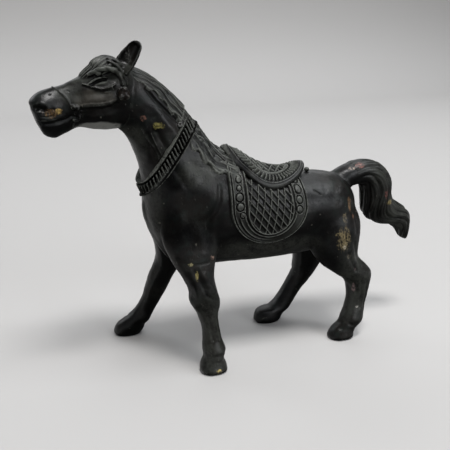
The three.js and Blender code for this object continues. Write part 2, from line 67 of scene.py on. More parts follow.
def smoothRows(rows, t):  # cubic through rows in even steps; the slope at a row is half the step between its neighbours
    rows = np.asarray(rows, float)
    t = np.asarray(t, float)
    i = np.clip(t.astype(int), 0, len(rows) - 2)
    f = (t - i)[..., None]
    padded = np.vstack([2 * rows[0] - rows[1], rows, 2 * rows[-1] - rows[-2]])
    p0, p1, p2, p3 = padded[i], padded[i + 1], padded[i + 2], padded[i + 3]
    square = 2 * p0 - 5 * p1 + 4 * p2 - p3
    cube = 3 * p1 - p0 - 3 * p2 + p3
    return 0.5 * (2 * p1 + (p2 - p0) * f + square * f ** 2 + cube * f ** 3)


def ribTable(width, *rows):  # top and bottom of the side view, y, half width in widths, and how much wider above
    return [[*row[:5], row[5] * width, *row[6:], 0][:7] for row in rows]


def blunt(v, power):  # sign(v) * |v| ** (2 / power)
    return np.sign(v) * np.abs(v) ** (2 / power)


def skinAt(ribs, t, angle, power=2.2, grow=0):
    # Middle of the rib + rise * half its height + side * half its width; rise and side are the blunt cosine and sine
    row = smoothRows(ribs, t)
    top, bottom = row[..., 0:2], row[..., 2:4]
    reach = np.linalg.norm(top - bottom, axis=-1, keepdims=True)
    step = (top - bottom) / reach * np.asarray(grow)[..., None]
    top, bottom = top + step, bottom - step
    rise = blunt(np.cos(angle), power)
    side = blunt(np.sin(angle), power) * (1 + row[..., 6] * rise)
    x = (top[..., 0] + bottom[..., 0] + (top[..., 0] - bottom[..., 0]) * rise) / 2
    z = (top[..., 1] + bottom[..., 1] + (top[..., 1] - bottom[..., 1]) * rise) / 2
    return np.stack([x, row[..., 4] + (row[..., 5] + grow) * side, z], -1)


def unit(v):
    return v / np.maximum(np.linalg.norm(v, axis=-1, keepdims=True), 1e-12)


def turns(sides):  # angles evenly round a circle
    return 2 * np.pi * np.arange(sides) / sides


def gridNormals(grid, closed=True):  # cross product of the steps through a point, turned away from its row's middle
    along = np.gradient(grid, axis=0)
    if closed:
        across = np.roll(grid, -1, 1) - np.roll(grid, 1, 1)
        away = grid - grid.mean(1, keepdims=True)
        normal = unit(np.cross(along, across))
        return normal * np.sign((normal * away).sum(-1).sum(-1))[:, None, None]
    return unit(np.cross(along, np.gradient(grid, axis=1)))


def cells(rows, columns, joinRows=0, joinColumns=0):  # quads between the points of a grid, joined round if asked
    i, k = np.meshgrid(np.arange(rows - 1 + joinRows), np.arange(columns - 1 + joinColumns), indexing="ij")
    after, beside = (i + 1) % rows * columns, (k + 1) % columns
    i = i * columns
    return np.stack([i + k, i + beside, after + beside, after + k], -1).reshape(-1, 4)


def outward(points, quads, fans):  # the faces turned so that the sum of the signed boxes under them is above zero
    faces = np.vstack([quads[:, [0, 1, 2]], quads[:, [0, 2, 3]], fans])
    a, b, c = points[faces[:, 0]], points[faces[:, 1]], points[faces[:, 2]]
    turn = 1 if (np.cross(a, b) * c).sum() >= 0 else -1
    return points, quads[:, ::turn], fans[:, ::turn]


def tube(grid):  # a closed skin over rows of points, with a fan over each end round an added middle point
    rows, sides = grid.shape[:2]
    points = np.vstack([grid.reshape(-1, 3), grid[0].mean(0), grid[-1].mean(0)])
    k, last = np.arange(sides), (rows - 1) * sides
    after = (k + 1) % sides
    first = np.stack([np.full(sides, rows * sides), after, k], 1)
    end = np.stack([np.full(sides, rows * sides + 1), last + k, last + after], 1)
    return outward(points, cells(rows, sides, 0, 1), np.vstack([first, end]))


def loft(ribs, rows, sides, power=2.2, relief=None):
    # The section carried through the ribs, each point then pushed out by relief(t, angle)
    t, angle = np.meshgrid(np.linspace(0, len(ribs) - 1, rows), turns(sides), indexing="ij")
    grid = skinAt(ribs, t, angle, power)
    if relief is not None:
        grid = grid + gridNormals(grid) * relief(t, angle)[..., None]
    return tube(grid)


def bell(d, width):  # exp(-(d / width) ** 2)
    return np.exp(-(d / width) ** 2)


def ease(low, high, v):  # smooth step from 0 at low to 1 at high
    f = np.clip((v - low) / (high - low), 0, 1)
    return f * f * (3 - 2 * f)


def joined(skins):  # several skins as one list of points and faces
    start = np.cumsum([0] + [len(points) for points, _, _ in skins])
    points = np.vstack([points for points, _, _ in skins])
    quads = np.vstack([quads + start[i] for i, (_, quads, _) in enumerate(skins)])
    fans = np.vstack([fans + start[i] for i, (_, _, fans) in enumerate(skins)])
    return points, quads, fans


def linked(name, data):
    obj = bpy.data.objects.new(name, data)
    bpy.context.scene.collection.objects.link(obj)
    return obj


def newObject(name, points, quads, fans):
    mesh = bpy.data.meshes.new(name)
    mesh.from_pydata(((points - shift) * 0.001).tolist(), [], quads.tolist() + fans.tolist())
    mesh.shade_smooth()
    return linked(name, mesh)


def finished(obj):  # the object's mesh with its modifiers worked in
    graph = bpy.context.evaluated_depsgraph_get()
    mesh = bpy.data.meshes.new_from_object(obj.evaluated_get(graph))
    obj.modifiers.clear()
    old, obj.data = obj.data, mesh
    mesh.name = obj.name
    bpy.data.meshes.remove(old)
    mesh.shade_smooth()
    return mesh


def fetched(items, key, width, kind=float):
    values = np.empty(width * len(items), kind)
    items.foreach_get(key, values)
    return values.reshape(-1, width)


def readPoints(mesh):
    return fetched(mesh.vertices, "co", 3) * 1000 + shift


def writePoints(mesh, points):
    mesh.vertices.foreach_set("co", ((points - shift) * 0.001).ravel())
    mesh.update()


def normalsOf(mesh):
    return fetched(mesh.vertex_normals, "vector", 3)


def relaxed(mesh, points, weight, rounds):  # each round moves a point towards the mean of its neighbours by its weight
    a, b = fetched(mesh.edges, "vertices", 2, int).T
    here, there = np.concatenate([a, b]), np.concatenate([b, a])
    count = np.bincount(here, minlength=len(points))
    weight = np.broadcast_to(weight, len(points))[:, None]
    for _ in range(rounds):
        total = np.stack([np.bincount(here, points[there, axis], len(points)) for axis in range(3)], 1)
        points = points + weight * (total / count[:, None] - points)
    return points


def markSkin(obj, reach, share, dust):
    # hollow = millimetres that a point lies under the same skin relaxed over the reach, below zero on edges;
    # upward = how far the skin faces up or to the muzzle; dust = how much pale film it takes, dust together with
    # painted sheen on up-facing skin, below zero where it is made near black and dull
    mesh = obj.data
    points = readPoints(mesh)
    a, b = points[fetched(mesh.edges, "vertices", 2, int).T]
    spacing = np.median(np.linalg.norm(a - b, axis=1))
    rounds = int(np.clip(1.6 * (reach / spacing) ** 2, 3, 80))
    depth = share * ((relaxed(mesh, points, 0.6, rounds) - points) * normalsOf(mesh)).sum(1)
    normals = relaxed(mesh, normalsOf(mesh), 0.6, 12)
    upward = normals[:, 2] + 0.6 * ease(0.5, 0.9, -normals[:, 0])
    for name, value in [("hollow", depth), ("upward", upward), ("dust", depth * 0 + dust)]:
        mesh.attributes.new(name, "FLOAT", "POINT").data.foreach_set("value", value)
    print(obj.name, len(mesh.polygons), "faces, hollows", np.percentile(depth, [2, 20, 80, 98]).round(3))


# Trunk and neck, from the buttocks forward and up to the poll

trunkWidth, neckWidth, headWidth, tailWidth = 13.2, 7.6, 6.4, 4.8
trunkPower = 2.15
trunkRibs = ribTable(trunkWidth,
    (48.4, 54, 49.2, 44, 0, 0.2), (46.2, 57, 47.6, 38.6, 0, 0.6), (41.5, 60, 41, 35.5, 0, 0.9),
    (34, 61.4, 33, 33, 0, 0.98), (25.5, 61.5, 25.5, 32.3, 0, 1), (17, 61.8, 17, 32.1, 0, 1.02),
    (8, 64.4, 8, 32.2, 0, 1.02), (-1, 69.8, -1, 32.7, 0, 0.99, -0.06), (-5.6, 73, -10, 33, 0, 0.94, -0.1),
    (-8.2, 76.3, -19, 35.6, 0, 0.83, -0.12), (-10.3, 79.4, -25.5, 44, 0, 0.74, -0.14)) + ribTable(neckWidth,
    (-12.6, 82, -28.3, 53, 0, 1.14, -0.14), (-15.4, 85.6, -28.5, 61, 0, 0.98, -0.14),
    (-19.6, 90.3, -29.2, 67.5, 0, 0.86, -0.12), (-24.4, 95.2, -31, 73.5, 0, 0.76, -0.08),
    (-29.5, 98.5, -33.5, 78.6, 0, 0.7), (-34.5, 99.5, -37, 82, 0, 0.5))
keelRibs = ribTable(1,
    (-27.5, 60, -24, 60, 0, 1.6), (-29, 54.5, -24, 54, 0, 2.2), (-27, 46, -21, 48, 0, 2.6),
    (-22, 37.4, -17, 42, 0, 2.6), (-17.5, 33, -13, 37, 0, 1.6))

# Head, from the jowls to the lips

headRibs = ribTable(headWidth,
    (-30, 98.5, -31.5, 81, 0, 0.72), (-34.5, 101, -34.5, 81, 0, 0.96), (-39, 100.6, -38.5, 80.7, 0, 1.02, 0.05),
    (-43.5, 98.8, -43, 81.1, 0, 0.94, 0.05), (-48, 96.3, -47.6, 82, 0, 0.74),
    (-52, 94.6, -51.6, 80.5, 0, 0.66, -0.05), (-55.6, 93.9, -55, 79.2, 0, 0.72, -0.05),
    (-59, 92.7, -58, 80.4, 0, 0.72), (-60.9, 91.2, -59.9, 83.8, 0, 0.56), (-61.6, 90, -60.8, 86.4, 0, 0.3))
forelockRibs = ribTable(1,
    (-47.6, 96.4, -47.2, 93, 0, 1.8), (-44.2, 99.4, -43, 95, 0, 3.9), (-40.5, 102, -40, 96, 0, 5),
    (-36.8, 102.1, -36.4, 96, 0, 4.9), (-33.4, 100, -34, 95, 0, 3.6))

# Legs, each from inside the shoulder or the rump down to the flat sole

nearFrontRibs = ribTable(1,
    (-20, 62, -10, 62, -3.6, 3), (-24.2, 54, -6, 55, -6.2, 4.2), (-24.8, 45, -5, 45, -8.2, 5),
    (-22.1, 37.6, -7.8, 36.8, -10.2, 4.8), (-19.5, 33, -8.5, 31.6, -11.2, 4.3), (-17.4, 28.2, -7.7, 27, -12, 4),
    (-17.4, 24.4, -7.1, 23.2, -12.7, 4.1), (-15.4, 20.6, -8, 19.2, -13.4, 3.4),
    (-13.9, 15.8, -7.9, 15.1, -14.2, 3), (-13.8, 11.6, -7.3, 10.9, -15.1, 3),
    (-14.2, 8.4, -6.2, 7.4, -15.8, 3.8), (-14, 5.7, -7.2, 4.9, -16.4, 3.5), (-15, 3.2, -6.4, 2.7, -16.4, 3.9),
    (-15.4, 1, -6.2, 0.9, -17, 4.2), (-14.5, 0, -6.5, 0, -17, 3.5))
farFrontRibs = ribTable(1,
    (-20, 62, -10, 62, 3.6, 3), (-24.2, 54, -6, 55, 6.2, 4.2), (-24.8, 45, -6, 45, 8.4, 5),
    (-22.3, 37.5, -9.4, 35.5, 11, 4.8), (-21.5, 31, -12.5, 28.6, 13.2, 4.2),
    (-23.5, 24.8, -15.7, 22.4, 14.8, 4), (-24.9, 19.9, -17.5, 17.9, 15.9, 3.4),
    (-26, 15.4, -19.7, 13.4, 16.9, 3), (-28.2, 11, -22.1, 8.6, 18, 3), (-30.5, 8.2, -23.5, 5.6, 18.8, 3.7),
    (-33, 6.3, -24.8, 4, 19.3, 3.6), (-35.4, 4.2, -25.2, 2.4, 19.9, 3.9), (-36.3, 1.2, -25.8, 0.9, 20.8, 4.2),
    (-35.5, 0, -26.4, 0, 20.8, 3.5))
nearHindRibs = ribTable(1,
    (30, 57.5, 42.4, 57, -2.6, 3.4), (25, 51, 46.4, 50.5, -5.8, 5.2), (24.6, 43.5, 48.6, 44, -7.7, 6),
    (28.2, 36.4, 48.1, 37.6, -8.6, 5.5), (33, 29.6, 47.6, 31.4, -9.4, 4.7), (38.4, 25.4, 51.1, 27.4, -9.8, 4),
    (43, 21.8, 53.4, 24, -10, 3.8), (44.1, 17.2, 52.3, 17, -10.3, 3.3), (43.6, 12.8, 51.1, 11.8, -10.6, 3.1),
    (41.7, 8.6, 49.8, 6.6, -11.4, 3.8), (40.5, 5.9, 47.6, 4.2, -11.6, 3.5), (37.8, 3.4, 46.6, 2.4, -11.3, 3.8),
    (36.7, 1, 46.4, 0.9, -11.3, 4.2), (37.4, 0, 45.7, 0, -11.3, 3.5))
farHindRibs = ribTable(1,
    (30, 57.5, 42, 57, 2.6, 3.4), (25, 51, 46, 50.5, 5.8, 5.2), (25.8, 43.5, 47.8, 44, 7.6, 5.8),
    (29.3, 35.6, 47, 35.6, 8.6, 5.4), (31.9, 28, 44.4, 25.8, 9.4, 4.7), (31.9, 20.2, 39.8, 17.4, 10.2, 3.9),
    (29.5, 14.9, 35.8, 12.6, 10.7, 3.4), (26.6, 9.9, 32.7, 7.6, 11, 3.3), (23.5, 6.7, 30.7, 4.6, 11.2, 3.6),
    (18, 4.8, 28.4, 2.7, 11.3, 3.9), (16.7, 1.2, 27.3, 0.9, 11.3, 4.2), (17.5, 0, 26.6, 0, 11.3, 3.5))

# Tail: one thick lock, up from the dock, over, down and flicked back to its tip

tailRibs = ribTable(tailWidth,
    (40, 59.6, 45, 51, 0, 0.95), (46, 62.3, 48.4, 53.8, 0, 0.95), (51, 63.8, 51.7, 55, 0, 0.95),
    (56.3, 63.5, 53.7, 54.2, 0, 0.98), (61.7, 61.5, 54.2, 51.4, 0, 1), (65.8, 56.8, 54.6, 47.6, 0, 1.05),
    (66.5, 51.6, 55.2, 43.6, 0, 1.05), (67.5, 48.2, 58, 40.6, 0, 1), (70.3, 46, 62.2, 38.8, 0, 0.95),
    (73.9, 43.4, 66.8, 38, 0, 0.88), (75.9, 40.2, 69.4, 36.4, 0, 0.78), (76.1, 36.4, 71.4, 34, 0, 0.65),
    (75.7, 32.8, 72.8, 32, 0, 0.5), (75.3, 31.2, 74, 31.1, 0, 0.3))


def tailHair(t, angle):
    # Locks side by side round the tail, with finer ones between, whose valleys lean as they go; they fade at the root
    lean = 0.3 * np.sin(1.05 * t) + 0.1 * t
    coarse = np.abs(np.sin(4.5 * (angle + lean) + 0.5 * np.sin(1.7 * t)))
    fine = np.abs(np.sin(12.5 * (angle + 0.9 * lean) + 1.2 * np.sin(0.9 * t)))
    fade = (0.45 * ease(0.6, 1.4, t) + 0.55 * ease(1.5, 4, t)) * (1 - 0.55 * ease(9, 12, t))
    share = 0.6 + 0.4 * np.sin(2 * angle + 0.8 * t)
    return fade * (0.75 * coarse ** 0.7 + 0.34 * share * fine ** 0.8 - 0.75) - 0.9 * ease(1.7, 0.6, t)


def forelockHair(t, angle):
    # Strands that run back over the crown and sink towards the brow, and a step up where the crown begins
    down = np.abs((angle + np.pi) % (2 * np.pi) - np.pi)
    lines = np.abs(np.sin(8.5 * (down + 0.28 * t) + 0.5 * np.sin(3 * t))) ** 0.8
    return (0.75 * lines - 0.38) * ease(0.1, 0.5, t) * (1 - 0.5 * ease(3, 3.8, t)) + 0.35 * ease(1.3, 1.5, t) - 0.12


def ear(side, back, drop):
    # A leaf whose section is a C: an outer arc from rim to rim, and a flatter inner arc that dips in where it is cupped
    base = np.array([-34.3, side * 3.5, 98.2])
    up = np.array([5.2 + back, side, 8.7 - drop])
    out = np.array([-0.75, side * 0.62, 0.2])
    out = unit(out - up * (out @ up) / (up @ up))
    across = unit(np.cross(up, out))
    f, k = np.meshgrid(np.sin(np.linspace(0, np.pi / 2, 70)), np.arange(64), indexing="ij")
    outer = k < 32
    arc = np.pi * np.where(outer, k / 31, (63 - k) / 31)
    wide = 3.2 * (0.84 + 0.16 * ease(0, 0.3, f)) * (1 - 0.28 * ease(0.4, 1, f))
    wide = wide * np.sqrt(1.002 - np.clip((f - 0.78) / 0.22, 0, 1) ** 2)  # the tip is round
    cup = ease(0.06, 0.3, f) * (1 - ease(0.84, 0.95, f))
    sideways = np.where(outer, 1, 1 - 0.16 * cup) * wide * np.cos(arc)
    inner = 0.9 - 1.8 * cup
    depth = np.where(outer, -2, inner) * np.sin(arc) * wide / 2.7
    curl = 0.55 * (sideways / 2.5) ** 2 + 0.35 * np.maximum(0, -sideways * side / 2.5)
    grid = base + f[..., None] * up + sideways[..., None] * across + (depth + curl)[..., None] * out
    return tube(grid)


def strand(path, radius, twist):
    # A circle carried along a smooth path, thin at its ends; twist winds ridges round it, once in that many millimetres
    middle = smoothRows(path, np.linspace(0, len(path) - 1, 60))
    along = unit(np.gradient(middle, axis=0))
    length = np.concatenate([[0], np.cumsum(np.linalg.norm(np.diff(middle, axis=0), axis=1))])
    side = np.sign(middle[len(middle) // 2, 1]) or 1.0
    out = unit(np.array([0, side, 0]) - along * (side * along[:, 1:2]))
    across = np.cross(along, out)
    angle = turns(12)
    f = length / length[-1]
    swell = radius * (0.35 + 0.65 * np.sin(np.pi * (0.1 + 0.85 * f)) ** 0.6)[:, None]
    if twist:
        swell = swell * (0.84 + 0.3 * np.abs(np.cos(angle[None] - np.pi * length[:, None] / twist)))
    ring = np.cos(angle)[None, :, None] * out[:, None] + np.sin(angle)[None, :, None] * across[:, None]
    return tube(middle[:, None] + swell[..., None] * ring)


def pebble(middle, radii):  # an ellipsoid
    polar, angle = np.meshgrid(np.linspace(0.02, np.pi - 0.02, 24), turns(36), indexing="ij")
    local = np.stack([np.sin(polar) * np.cos(angle), np.cos(polar), np.sin(polar) * np.sin(angle)], -1)
    return tube(np.array(middle) + local * np.array(radii))


class Skin:
    def __init__(self, skins):  # the skin of some pieces, to lay a line of the side view on
        points, quads, fans = joined(skins)
        self.tree = BVHTree.FromPolygons(points.tolist(), quads.tolist() + fans.tolist())

    def lay(self, line, side, lift=0):
        laid = []
        for x, z in np.reshape(line, (-1, 2)):
            hit = self.tree.ray_cast(Vector((x, side * 60, z)), Vector((0, -side, 0)))[0]
            laid.append([x, (hit.y if hit else side * 2) + side * lift, z])
        return laid


fine = dict(rows=260, sides=128)
trunk = loft(trunkRibs, fine["rows"], fine["sides"], trunkPower)
neck = loft(trunkRibs[9:], fine["rows"] // 2, fine["sides"], trunkPower)
keel = loft(keelRibs, 40, 24)
head = loft(headRibs, fine["rows"] // 2, fine["sides"])
forelock = loft(forelockRibs, 160, 200, 2.1, forelockHair)
legRibs = [nearFrontRibs, farFrontRibs, nearHindRibs, farHindRibs]
legs = [loft(leg, fine["rows"] // 2, fine["sides"] // 2, 2.3) for leg in legRibs]
tail = loft(tailRibs, fine["rows"], fine["sides"], 2, lambda t, angle: -0.9 * ease(1, 3, t))
ears = [ear(-1, 0, 0), ear(1, 2.1, 0.6)]
print("lofts ready")

# Harness and hair of the head, laid on both sides

headSkin = Skin([head, forelock, neck])
headLines = [  # x and z of its points in turn, radius, lift, millimetres to a twist
    ([-38.6, 102.2, -36.1, 101.4, -33.8, 99.3, -32.7, 96.4], 0.5, 0.1, 0),  # straps down to the boss
    ([-39, 101.6, -37.1, 100.8, -35, 98.8, -33.6, 95.8, -33.3, 94.4], 0.5, 0.1, 0),
    ([-44.6, 97.6, -42.4, 98.7, -40, 99.5, -37.7, 99.1, -36, 97.9, -35.1, 96.2, -34.9, 94.4], 0.75, 0.2, 2.4),
    ([-47.8, 88.7, -45, 89.1, -41.9, 89.1, -39.1, 89.6, -36.6, 90.8], 0.62, -0.2, 0),  # cheek cord
    ([-44.9, 95, -43.5, 95.8, -42, 96.5, -40.2, 96.9, -38.8, 96.6], 0.36, 0.1, 0),  # lids
    ([-46.5, 95.1, -44.6, 94.6, -42.7, 94, -40.6, 93.7, -38.4, 94.2, -37, 95.1], 0.42, 0.15, 0),
    ([-41.4, 92.9, -39.6, 92.6, -37.9, 92.8], 0.36, -0.18, 0),
    ([-54.6, 94, -52.5, 92.6, -50.9, 90.7, -50, 88.6, -49.6, 87.2], 0.6, -0.35, 0),  # noseband
    ([-50.2, 88.4, -49, 88.6, -48.2, 87.9, -48.6, 87, -49.4, 86.5], 0.75, 0.3, 1.1),  # knot at the bit
    ([-49.4, 86.9, -48.3, 86.3, -48, 85.4, -48.8, 84.7, -49.9, 85], 0.62, 0.3, 1.1),
    ([-49.3, 84.8, -49.8, 83.4, -50.2, 82], 0.4, 0, 0),
]
trim = []
for side in (-1, 1):
    trim += [strand(headSkin.lay(line, side, lift), radius, twist) for line, radius, lift, twist in headLines]
    boss = headSkin.lay([-34.9, 92], side, 0.6)[0]
    for x, y, z, r in [(0, 0, 0, 1.85), (0.1, 0.7, 1.2, 1.05), (-0.8, 0.9, -0.6, 0.95), (0.8, 0.9, -0.7, 0.8)]:
        trim.append(pebble([boss[0] + x, boss[1] + side * y, boss[2] + z], (r, 0.85 * r, r)))
    browAndCurl = [((-41.8, 98.2), 0.1, (0.9, 0.7, 0.7)), ((-17.2, 81.4), 0.15, (1, 0.8, 1))]
    trim += [pebble(headSkin.lay(point, side, lift)[0], radii) for point, lift, radii in browAndCurl]
print("harness of the head laid")

# One casting: the pieces melted together, softened where they meet, carved, and parted under the collar

casting = dict(bodyGrain=0.27, headGrain=0.16, quickShare=1.9, mostTriangles=196000, uneven=0.1,
               softRounds=40)
collar = dict(top=np.array([-12.2, 0, 82.2]), bottom=np.array([-29.2, 0, 59.8]), bow=0.7, width=4.8, height=1.35,
              teeth=50, slant=-1.7)
collarMiddle = (collar["top"] + collar["bottom"]) / 2
collarLong = unit(collar["top"] - collar["bottom"])
collarAhead = np.array([-collarLong[2], 0, collarLong[0]])

softSpots = [  # middle, radius, where the metal runs soft from one form into the next
    (-15, -11, 45, 11), (-15, 11, 45, 11), (-15, -10, 34, 6), (-16, 11, 34, 6), (38, -11, 46, 13), (38, 11, 46, 13),
    (44, 0, 56, 6), (-24, 0, 44, 9), (-32, 0, 84, 6), (-31, 0, 78, 6), (-29.5, -5, 93, 6), (-29.5, 5, 93, 6),
    (-29.5, -5, 87, 6), (-29.5, 5, 87, 6), (-30, -5, 81, 5), (-30, 5, 81, 5),
]

# Bulges and hollows of both sides: middle on the side view, half length, half height, tilt in degrees, lift
forms = [
    (-12, 61.5, 9, 4.6, -35, 0.9), (-11, 69.5, 7, 1.8, -38, -0.35), (-14.5, 55, 5, 4, 0, 0.3),
    (-3, 56, 2.2, 9, -8, -0.45), (-22.5, 56, 4.5, 6, 0, 0.45), (31, 53.5, 8, 4.5, -8, 0.45), (40, 44, 5, 7, 20, 0.3),
    (30, 43, 5, 5, 0, -0.4), (-18.4, 65.3, 1.2, 5, 30, -0.5), (-42, 95.5, 4.2, 1.7, 10, -0.8),
    (-41.4, 95.4, 2, 0.8, 12, 0.5), (-42, 92.4, 5.4, 1, 4, -0.35), (-42.4, 90.1, 5.6, 1.3, 6, 0.4),
    (-41.6, 87.3, 6, 1.1, 7, -0.6), (-39.5, 84.2, 5, 1.9, 0, 0.35), (-57.4, 90, 2.4, 1.6, 30, 0.25),
    (-54.6, 88.6, 2.4, 2.2, 0, 0.3), (-48, 91.8, 2.4, 2.2, 0, -0.35), (-22, 83, 1.4, 8, 38, 0.45),
    (-37.8, 96.8, 1.8, 0.9, -25, -0.2), (-11, 27, 2, 2.2, 0, 0.35), (-12.4, 44, 2.6, 5, 10, 0.3),
    (-7.2, 47, 1.6, 7, -8, -0.4), (46.5, 24.6, 1.6, 2.2, 0, 0.3), (-10.8, 16.5, 1.1, 4.5, 0, 0.2),
]

# Lines cut in (lift below 0) or raised, on both sides or on one: x and z of their points in turn, width, lift
carvedLines = {
    0: [  # both
        ([-61.6, 84.4, -60.1, 84.5, -57.5, 84.1, -54.4, 84.5, -51.7, 85.2, -50.2, 86], 0.55, -0.45),
        ([-61, 85.6, -58.2, 85.1, -55, 85.4, -52.4, 86.1], 0.5, 0.15),
        ([-60.2, 83, -57.4, 82.7, -54.4, 83.1, -51.6, 83.8], 0.9, 0.12),
        ([-60.3, 88.6, -59.2, 88.8, -58, 88.3], 0.75, -1),
        ([-59.6, 90, -58.6, 90.1, -57.4, 89.6, -56.6, 88.6], 0.5, 0.12),
        ([-59.6, 87.2, -58, 86.9, -56.4, 87.2], 0.3, -0.25), ([-59.2, 86.4, -57.4, 86.1, -55.8, 86.4], 0.28, -0.2),
        ([-55.9, 92.3, -55.6, 92.4], 0.22, -0.16), ([-42.3, 97.3, -41, 97.4], 0.3, -0.4),
        ([-47.4, 87.7, -44.6, 88.1, -41.5, 88, -38.6, 88.5, -36.6, 89.6], 0.4, -0.4),
        ([-58.6, 87.6, -57.4, 88.1, -56.2, 87.7, -55.2, 88.2], 0.3, -0.2),
        ([-44, 95, -42.8, 95.5, -41.4, 95.9, -39.8, 96.2], 0.3, -0.4),
        ([-29.6, 81, -28.2, 77.9, -26, 74.9, -24.8, 71.6], 0.24, 0.2),
        ([-28, 78.9, -26.6, 76, -25.2, 73], 0.85, -0.35), ([-26.7, 79.6, -25.6, 76.6, -23.8, 72.6], 0.3, 0.18),
        ([-25.2, 80, -23.4, 76.4, -21.8, 73.4], 1.2, -0.7),
        ([-27.2, 92.8, -24.6, 89.2, -21.4, 86.1, -18.9, 83.8, -17.2, 82], 0.5, -0.7),
        ([-6.2, 62, -6.6, 58, -8.4, 54, -11, 51], 0.9, -0.35), ([28.6, 57, 29.4, 56.4, 30.6, 55.4], 0.22, -0.25),
        ([41.4, 33.2, 43.1, 30, 45.1, 26.8], 0.7, -0.3), ([43.6, 50.5, 44.6, 46, 45, 41], 0.9, -0.35),
    ],
    -1: [  # near legs
        ([-21.5, 40, -19.9, 38.5, -17.8, 37.6, -15.2, 37.9, -11.7, 37.8, -9.4, 38.6], 0.4, -0.2),
        ([-16.7, 36, -15.1, 32.8, -13.6, 29.7, -12.4, 27, -11, 25.8], 0.55, -0.3),
        ([-13.2, 34.5, -11.4, 30.6, -9.4, 28], 0.8, 0.35), ([-16.8, 26.2, -15.6, 23.8, -13.6, 21], 0.6, -0.3),
        ([-13.6, 7.4, -11.6, 6.3, -9, 6.4, -6, 7], 0.6, -0.25), ([-14.6, 4.6, -10.5, 4.2, -6, 4.2], 0.5, -0.15),
        ([43.7, 22.6, 45.2, 20.9, 46.1, 17.6], 0.6, -0.4), ([41.4, 8, 43.2, 6.2, 46.2, 5.4], 0.6, -0.3),
        ([38.2, 4.8, 42.5, 4.3, 47, 3.6], 0.5, -0.15), ([-12.4, 20, -11.8, 16, -11.4, 11.6], 0.5, -0.3),
        ([-9.2, 19, -8.8, 15, -8.4, 11], 0.5, -0.25), ([-17.6, 36, -16.2, 31, -15.6, 27.6], 0.8, 0.25),
        ([-14.6, 36.6, -13.4, 33, -12.2, 30], 0.45, 0.25), ([-15.4, 22.4, -13, 22, -10.4, 22.4], 0.6, -0.14),
        ([47.6, 22, 48, 17, 47.4, 12], 0.5, -0.3), ([50, 21.6, 50.2, 17, 49.4, 12], 0.45, -0.2),
        ([44, 37, 45.4, 32, 47.4, 28], 0.8, -0.3),
    ],
    1: [  # far legs
        ([-20.6, 31, -20.6, 25, -22.4, 18], 0.6, 0.25), ([-22, 17.6, -24.4, 12.4], 0.45, -0.3),
        ([34.6, 20, 31.6, 13.6, 28.6, 9.6], 0.5, -0.3), ([-16.8, 36, -15.6, 32.8, -17, 29.7, -18.4, 27], 0.6, -0.45),
        ([-31.4, 7.4, -28.6, 6, -26.4, 5], 0.5, -0.4), ([21.8, 6.4, 25.4, 5.4, 29.4, 4.8], 0.5, -0.45),
        ([30.5, 21.5, 34, 19.5, 38.8, 19], 0.6, -0.35),
    ],
}


def nearLine(points, line):  # distance from each point to a polyline
    a, step = line[:-1], np.diff(line, axis=0)
    t = np.clip(((points[:, None] - a) * step).sum(-1) / (step ** 2).sum(-1), 0, 1)
    return np.linalg.norm(points[:, None] - a - t[..., None] * step, axis=-1).min(1)


def lumps(points, waves=26):  # unevenness of a hand-finished cast: the mean of sine waves in random directions
    random = np.random.default_rng(7)
    total = np.zeros(len(points))
    for length in np.geomspace(1.6, 9, waves):
        wave = unit(random.normal(size=3)) * 2 * np.pi / length
        total += np.sin(points @ wave + random.uniform(0, 6.3)) * length ** 0.6
    return total / waves


def carve(points, normals):
    # Every form adds lift * a bell of the distance, on skin that faces sideways
    view = points[:, [0, 2]]
    facing = ease(0.1, 0.5, np.abs(normals[:, 1]))
    outside = normals[:, 1] * np.sign(points[:, 1]) > 0
    push = casting["uneven"] * lumps(points)
    for x, z, long, high, tilt, lift in forms:
        c, d = np.cos(np.radians(tilt)), np.sin(np.radians(tilt))
        along, up = (view - [x, z]) @ [c, d], (view - [x, z]) @ [-d, c]
        push += lift * facing * outside * np.exp(-(along / long) ** 2 - (up / high) ** 2)
    for side, line, width, lift in [(side, *entry) for side, entries in carvedLines.items() for entry in entries]:
        line = np.reshape(line, (-1, 2))
        low, high = np.min(line, 0) - 3 * width, np.max(line, 0) + 3 * width
        near = ((view > low) & (view < high)).all(1) & outside & ((side == 0) | (points[:, 1] * side > 1))
        push[near] += lift * facing[near] * bell(nearLine(view[near], line), width)
    return push


def makeCasting(name, skins, grain, above):
    obj = newObject(name, *joined(skins))
    remesh = obj.modifiers.new("melt", "REMESH")
    remesh.mode = "VOXEL"
    remesh.voxel_size = 0.001 * grain * 1
    mesh = finished(obj)
    points = readPoints(mesh)
    soft = np.zeros(len(points))
    for *middle, radius in softSpots:
        soft = np.maximum(soft, 1 - ease(0.6, 1, np.linalg.norm(points - middle, axis=1) / radius))
    soft *= ~(above & (points[:, 0] < -33))
    points = relaxed(mesh, points, 0.5 * soft, casting["softRounds"])
    points = relaxed(mesh, points, 0.4, 2)
    writePoints(mesh, points)
    points = points + normalsOf(mesh) * carve(points, normalsOf(mesh))[:, None]
    points[:, 2] = np.maximum(points[:, 2], 0)
    writePoints(mesh, points)
    parted(mesh, above)
    triangles = 2 * len(mesh.polygons)
    if triangles > casting["mostTriangles"]:
        thin = obj.modifiers.new("thin", "DECIMATE")
        thin.ratio = casting["mostTriangles"] / triangles
        finished(obj)
    print(name, "melted and carved", triangles)
    return obj


def parted(mesh, above):  # keeps what lies on one side of the plane through the collar, and closes the cut
    work = bmesh.new()
    work.from_mesh(mesh)
    bmesh.ops.bisect_plane(work, geom=[*work.verts, *work.edges, *work.faces], plane_co=(collarMiddle - shift) * 0.001,
                           plane_no=collarAhead, clear_inner=above, clear_outer=not above)
    rim = [edge for edge in work.edges if edge.is_boundary]
    bmesh.ops.poke(work, faces=bmesh.ops.holes_fill(work, edges=rim, sides=0)["faces"])
    work.to_mesh(mesh)
    work.free()
    mesh.shade_smooth()


